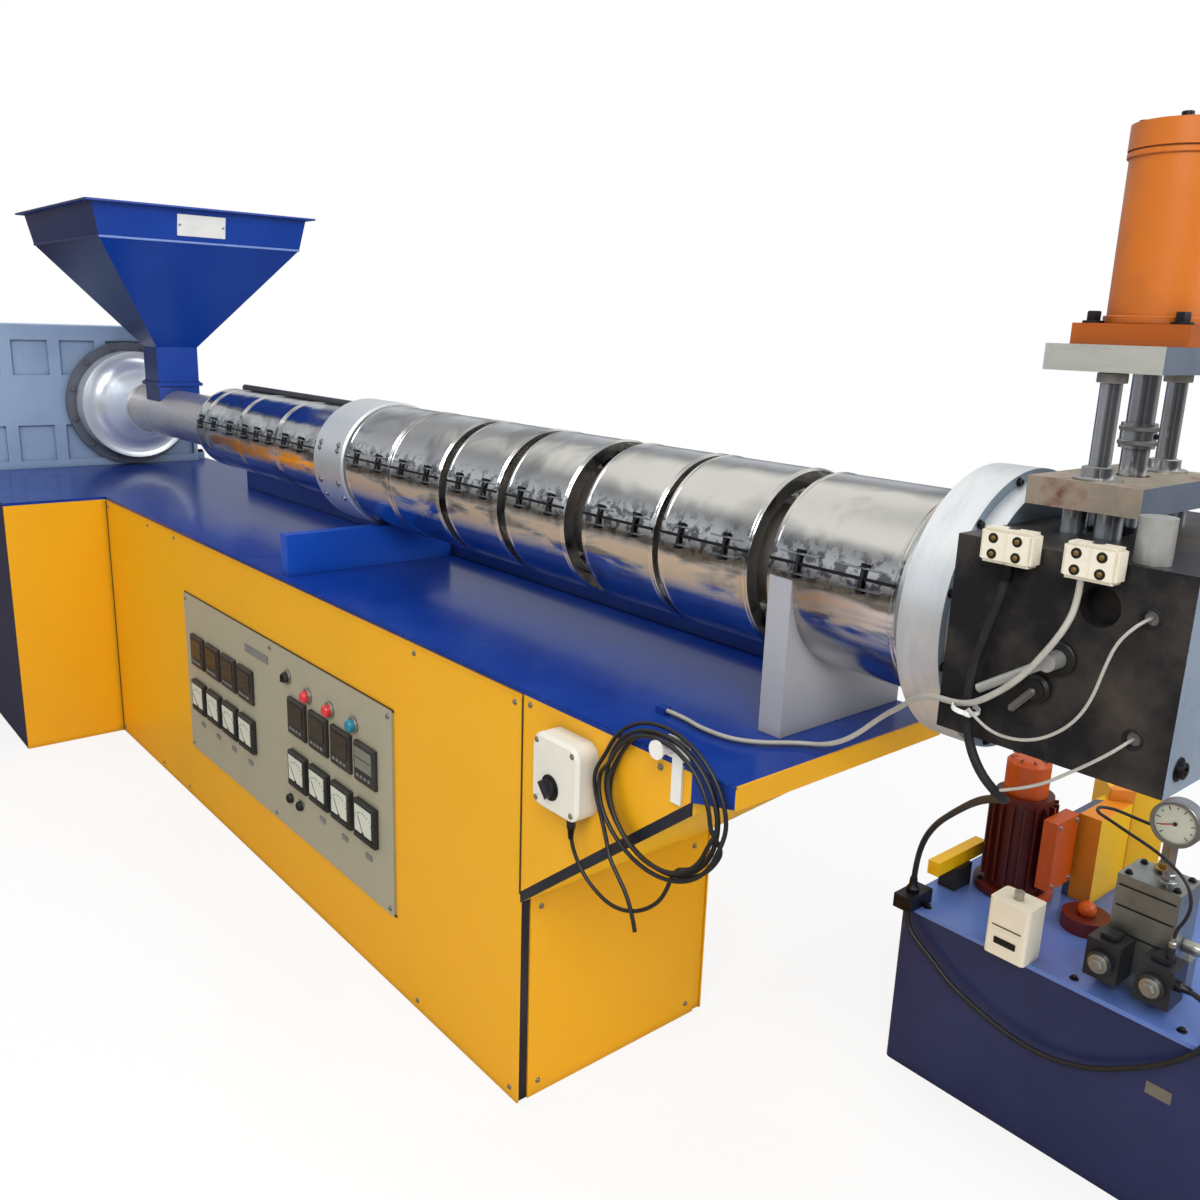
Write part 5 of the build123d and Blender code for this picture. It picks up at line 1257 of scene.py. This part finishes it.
@dataclass
class PumpUnit(Fittings):
    """Fittings on the oil tank, the ends of the hoses and the switch box's details.

    Args:
        tank_top: Height of the tank's lid.
        motor_x: The motor's axis along X.
        motor_y: The motor's axis along Y.
        gauge_face: Middle of the gauge's face.
        switch_face: The switch box's front, along Y.
    """

    tank_top: float = 370.0
    motor_x: float = 1712.0
    motor_y: float = 700.0
    gauge_face: tuple = (2062.0, 537.0, 703.0)
    switch_face: float = -301.0

    def gauge(self) -> None:
        """Make the pressure gauge's dial, rim and needle."""
        gauge = self.shape("gauge_dial", "dial_white", "ink_black", "gauge_steel", "lamp_red")
        x, face, z = self.gauge_face
        gauge.lathe((x, face + 1, z), FRONT, ((36, 0), (36, 1.6)), 0, 48)
        gauge.hoop(self.gauge_face, FRONT, 35.5, 41.8, -4, 5, 2, 56)
        for tick in range(11):
            gauge.mark((x, face - 0.8, z), 225 - tick * 27, 29, (1.4, 0.6, 4 if tick % 2 else 7), 1)
        gauge.mark((x, face - 1.6, z), 200, 11, (1.8, 0.8, 30), 3)
        gauge.lathe((x, face - 1, z), FRONT, ((3.4, 0), (3.4, 1.8), (2.2, 2.4)), 1, 20)
        gauge.bolt((x, 550, 590), UP, 11, 16, 2)
        gauge.done(slot="gauge_steel")

    def valve(self) -> None:
        """Make the solenoids' caps and the valve block's screws and joints."""
        valve = self.shape("valve_nuts", "zinc", "solenoid_black", "bolt_black", "brass")
        for x in (2005, 2095):
            valve.lathe((x, 470, 432), FRONT, ((22, 0), (22, 10), (17, 14)), 1, 32)
            valve.bolt((x, 456.5, 432), FRONT, 12, 12, 0)
            valve.box((x, 500, 474), (30, 34, 9), 1, bevel=2.0)
        valve.bolts((1998, 2082), (544, 606), (580,), UP, 5, 6, 2, True)
        for z in (470, 520, 560):
            valve.box((2040, 529.2, z), (100, 1.6, 2.4), 2)
        valve.bolt((2035, 602, 586), UP, 12, 12, 3)
        valve.done(slot="valve_metal")

    def hose_ends(self) -> None:
        """Make the fittings that the hoses and cables end in."""
        ends = self.shape("hose_ends", "zinc", "bolt_black")
        hose = ((11, 0), (13, 3), (13, 26), (10.5, 30), (10.5, 44), (12, 48), (12, 58), (9.6, 62))
        for foot in ((2095, 580, 470), (2162, 100, 1708)):
            ends.lathe(foot, END, hose, 0, 6)
            ends.lathe(foot, END, tuple((r - 0.6, h + 0.2) for r, h in hose), 0, 28)
        small = ((6.5, 0), (6.5, 8), (4.6, 10), (4.6, 18))
        down = (0, 0, -1)
        for foot, axis, profile, finish, sides in (
                ((2020, 602, 659), (-1, 0, 0), small, 0, 12),
                ((2104, 500, 500), UP, small, 0, 12),
                ((2125, 490, 440), END, ((10, 0), (10, 8), (7, 12), (6.2, 24)), 1, 24),
                ((1413, -278.5, 677), down, ((8, -6), (8, 0), (6, 5), (4.4, 22)), 1, 24),
                ((1620, 464, 400), UP, ((13, 0), (13, 7), (9, 12), (7.2, 30)), 1, 24),
                ((2068, -156, 1244), down, ((9, 0), (9, 6), (7.2, 20)), 1, 24)):
            ends.lathe(foot, axis, profile, finish, sides)
        ends.done(slot="gauge_steel")

    def tank(self) -> None:
        """Make the lid's bolts, the starter's slots, a blank plate and the motor's details."""
        lid = self.shape("tank_fittings", "bolt_black", "ink_black", "zinc")
        lid.bolts((1650, 1800, 1960, 2150, 2310), (478, 1002), (self.tank_top,), UP, 6, 6)
        lid.box((1844, 429.4, 402), (44, 2.0, 14), 1, bevel=1.0)
        lid.box((1844, 429.2, 432), (58, 1.4, 1.6), 1)
        lid.box((2138, 459.2, 248), (44, 1.6, 24), 2, bevel=0.5)
        for degrees in range(0, 360, 45):
            angle = radians(degrees)
            place = (self.motor_x + 32 * cos(angle), self.motor_y + 32 * sin(angle), 668.2)
            lid.box(place, (14, 3, 0.8), 1, Matrix.Rotation(angle, 3, "Z"))
        for degrees in (45, 135, 225, 315):
            angle = radians(degrees)
            lid.bolt((self.motor_x + 70 * cos(angle), self.motor_y + 70 * sin(angle), 386), UP, 5, 6)
        lid.bolts((1810,), (self.motor_y - 34, self.motor_y + 34), (426, 556), END, 4, 4, 2, True)
        lid.done(slot="tank_blue")

    def switch_box(self) -> None:
        """Make the switch box's screws and the ring round its knob."""
        box = self.shape("switch_box_details", "zinc", "ink_black")
        box.bolts((1342, 1438), (self.switch_face,), (712, 818), FRONT, 3.6, 2.4, 0, True)
        box.hoop((1381, self.switch_face, 743), FRONT, 16.5, 23, 0, 1.6, 1, 40, 0.5)
        box.done(slot="box_white")

    def build(self) -> None:
        """Make the pump unit's detail pieces and the switch box's."""
        self.gauge()
        self.valve()
        self.hose_ends()
        self.tank()
        self.switch_box()


@dataclass
class Studio:
    """Camera, floor, world and lights.

    Args:
        focal: The camera's focal length, in the photograph's pixels.
        photo: The photograph's width in pixels.
        sensor: The camera's sensor width in millimetres.
        yaw: The camera's turn from +Y, in radians.
        pitch: Its tilt downwards.
        roll: Its lean.
        eye: Its place in metres.
    """

    focal: float = 1067.53828
    photo: float = 1200.0
    sensor: float = 36.0
    yaw: float = -0.864132655
    pitch: float = 0.249879201
    roll: float = 0.0343197629
    eye: tuple = (2.70, -1.33, 1.50)

    def camera(self) -> None:
        """Place the camera that was solved from the photograph's edges."""
        ahead = Vector((sin(self.yaw) * cos(self.pitch), cos(self.yaw) * cos(self.pitch), -sin(self.pitch)))
        right = Vector((cos(self.yaw), -sin(self.yaw), 0))
        up = right.cross(ahead)
        c, s = cos(self.roll), sin(self.roll)
        across, above = c * right + s * up, -s * right + c * up
        data = bpy.data.cameras.new("camera")
        data.sensor_width = self.sensor
        data.lens = self.focal * self.sensor / self.photo
        data.clip_end = 120
        made = link_object("camera", data)
        made.matrix_world = Matrix((
            (across.x, above.x, -ahead.x, self.eye[0]), (across.y, above.y, -ahead.y, self.eye[1]),
            (across.z, above.z, -ahead.z, self.eye[2]), (0, 0, 0, 1)))
        bpy.context.scene.camera = made

    def floor(self) -> None:
        """Lay the pale floor, which shiny things see darker and warmer, as a workshop's floor is."""
        mesh = bmesh.new()
        bmesh.ops.create_grid(mesh, x_segments=1, y_segments=1, size=40)
        data = bpy.data.meshes.new("floor")
        mesh.to_mesh(data)
        mesh.free()
        material = bpy.data.materials.new("floor_pale")
        tree = empty_tree(material)
        path = tree.add("ShaderNodeLightPath").outputs
        base = tree.mix(path["Is Glossy Ray"], (0.90, 0.90, 0.90, 1), (0.24, 0.20, 0.16, 1))
        plain = tree.add("ShaderNodeBsdfDiffuse", {"Color": base}).outputs[0]
        white = tree.add("ShaderNodeEmission", {"Color": (1, 1, 1, 1), "Strength": 1.0}).outputs[0]
        place = tree.add("ShaderNodeTexCoord").outputs["Object"]
        away = tree.add("ShaderNodeVectorMath", {0: place}, operation="LENGTH").outputs["Value"]
        share = tree.remap(away, 2.5, 5.0, 0.80, 1.0)
        seen = tree.add("ShaderNodeMixShader", {
            0: tree.maths("MULTIPLY", path["Is Camera Ray"], share), 1: plain, 2: white}).outputs[0]
        tree.add("ShaderNodeOutputMaterial", {"Surface": seen})
        data.materials.append(material)
        link_object("floor", data)

    def world(self) -> None:
        """Make a white surround for the camera and a banded room for reflections."""
        world = bpy.data.worlds.new("studio")
        bpy.context.scene.world = world
        tree = empty_tree(world)
        path = tree.add("ShaderNodeLightPath").outputs
        ray = tree.add("ShaderNodeTexCoord").outputs["Generated"]
        height = tree.add("ShaderNodeSeparateXYZ", {0: ray}).outputs[2]
        banded = tree.ramp(tree.remap(height, -1.0, 1.0), (
            (0.0, (0.20, 0.17, 0.13)), (0.47, (0.20, 0.18, 0.16)), (0.53, (0.30, 0.31, 0.33)),
            (0.62, (0.62, 0.65, 0.70)), (0.76, (0.34, 0.35, 0.37)), (0.83, (0.98, 0.97, 0.92)),
            (0.90, (0.92, 0.91, 0.86)), (0.95, (0.42, 0.43, 0.45)), (1.0, (0.50, 0.50, 0.52))))
        room = tree.add("ShaderNodeBackground", {0: banded, 1: 1.0}).outputs[0]
        soft = tree.add("ShaderNodeBackground", {0: (0.95, 0.97, 1.0, 1), 1: 0.42}).outputs[0]
        white = tree.add("ShaderNodeBackground", {0: (1, 1, 1, 1), 1: 1.0}).outputs[0]
        lit = tree.add("ShaderNodeMixShader", {0: path["Is Glossy Ray"], 1: soft, 2: room}).outputs[0]
        seen = tree.add("ShaderNodeMixShader", {0: path["Is Camera Ray"], 1: lit, 2: white}).outputs[0]
        tree.add("ShaderNodeOutputWorld", {"Surface": seen})

    def lights(self) -> None:
        """Hang three large soft lights."""
        for name, place, aim, size, power in (
                ("key", (4.2, -3.4, 4.6), (0.6, 0.0, 0.8), 3.2, 235),
                ("fill", (4.8, 1.6, 3.0), (1.8, 0.3, 0.7), 2.6, 60),
                ("top", (-1.0, 0.4, 5.2), (-0.4, 0.1, 0.9), 4.2, 110)):
            data = bpy.data.lights.new(name, "AREA")
            data.size, data.energy = size, power
            lamp = link_object(name, data)
            lamp.location = place
            lamp.visible_glossy = name != "top"
            lamp.rotation_euler = (Vector(aim) - Vector(place)).to_track_quat("-Z", "Y").to_euler()

    def build(self) -> None:
        """Set up everything around the object."""
        self.floor()
        self.world()
        self.lights()
        bpy.context.scene.view_settings.view_transform = "Standard"


def dress(nodes: dict, shop: MaterialShop) -> None:
    """Give every CAD node that shows its finish.

    Args:
        nodes: CAD objects by node name.
        shop: Where the materials come from.
    """
    for name, finish in NODE_FINISH.items():
        shown = nodes[name]
        if not shown.material_slots:
            shown.data.materials.append(None)
        for slot in shown.material_slots:
            slot.material = shop.get(finish)
        LOG.info("finish %s on %s", finish, name)


def main() -> None:
    """Load the frame, then add the camera, cords, finishes, fittings and light."""
    logging.basicConfig(level=logging.INFO, format="%(message)s")
    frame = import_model()
    shop = MaterialShop()
    studio = Studio()
    studio.camera()
    cords = CordSet(shop)
    for plan in CORDS:
        cords.make(plan)
    dress(frame["nodes"], shop)
    for group in (PanelInstruments, CabinetTrim, BarrelFittings, DieHead, PumpUnit):
        group(shop).build()
    studio.build()
    bpy.context.view_layer.update()


if __name__ == "__main__":
    main()
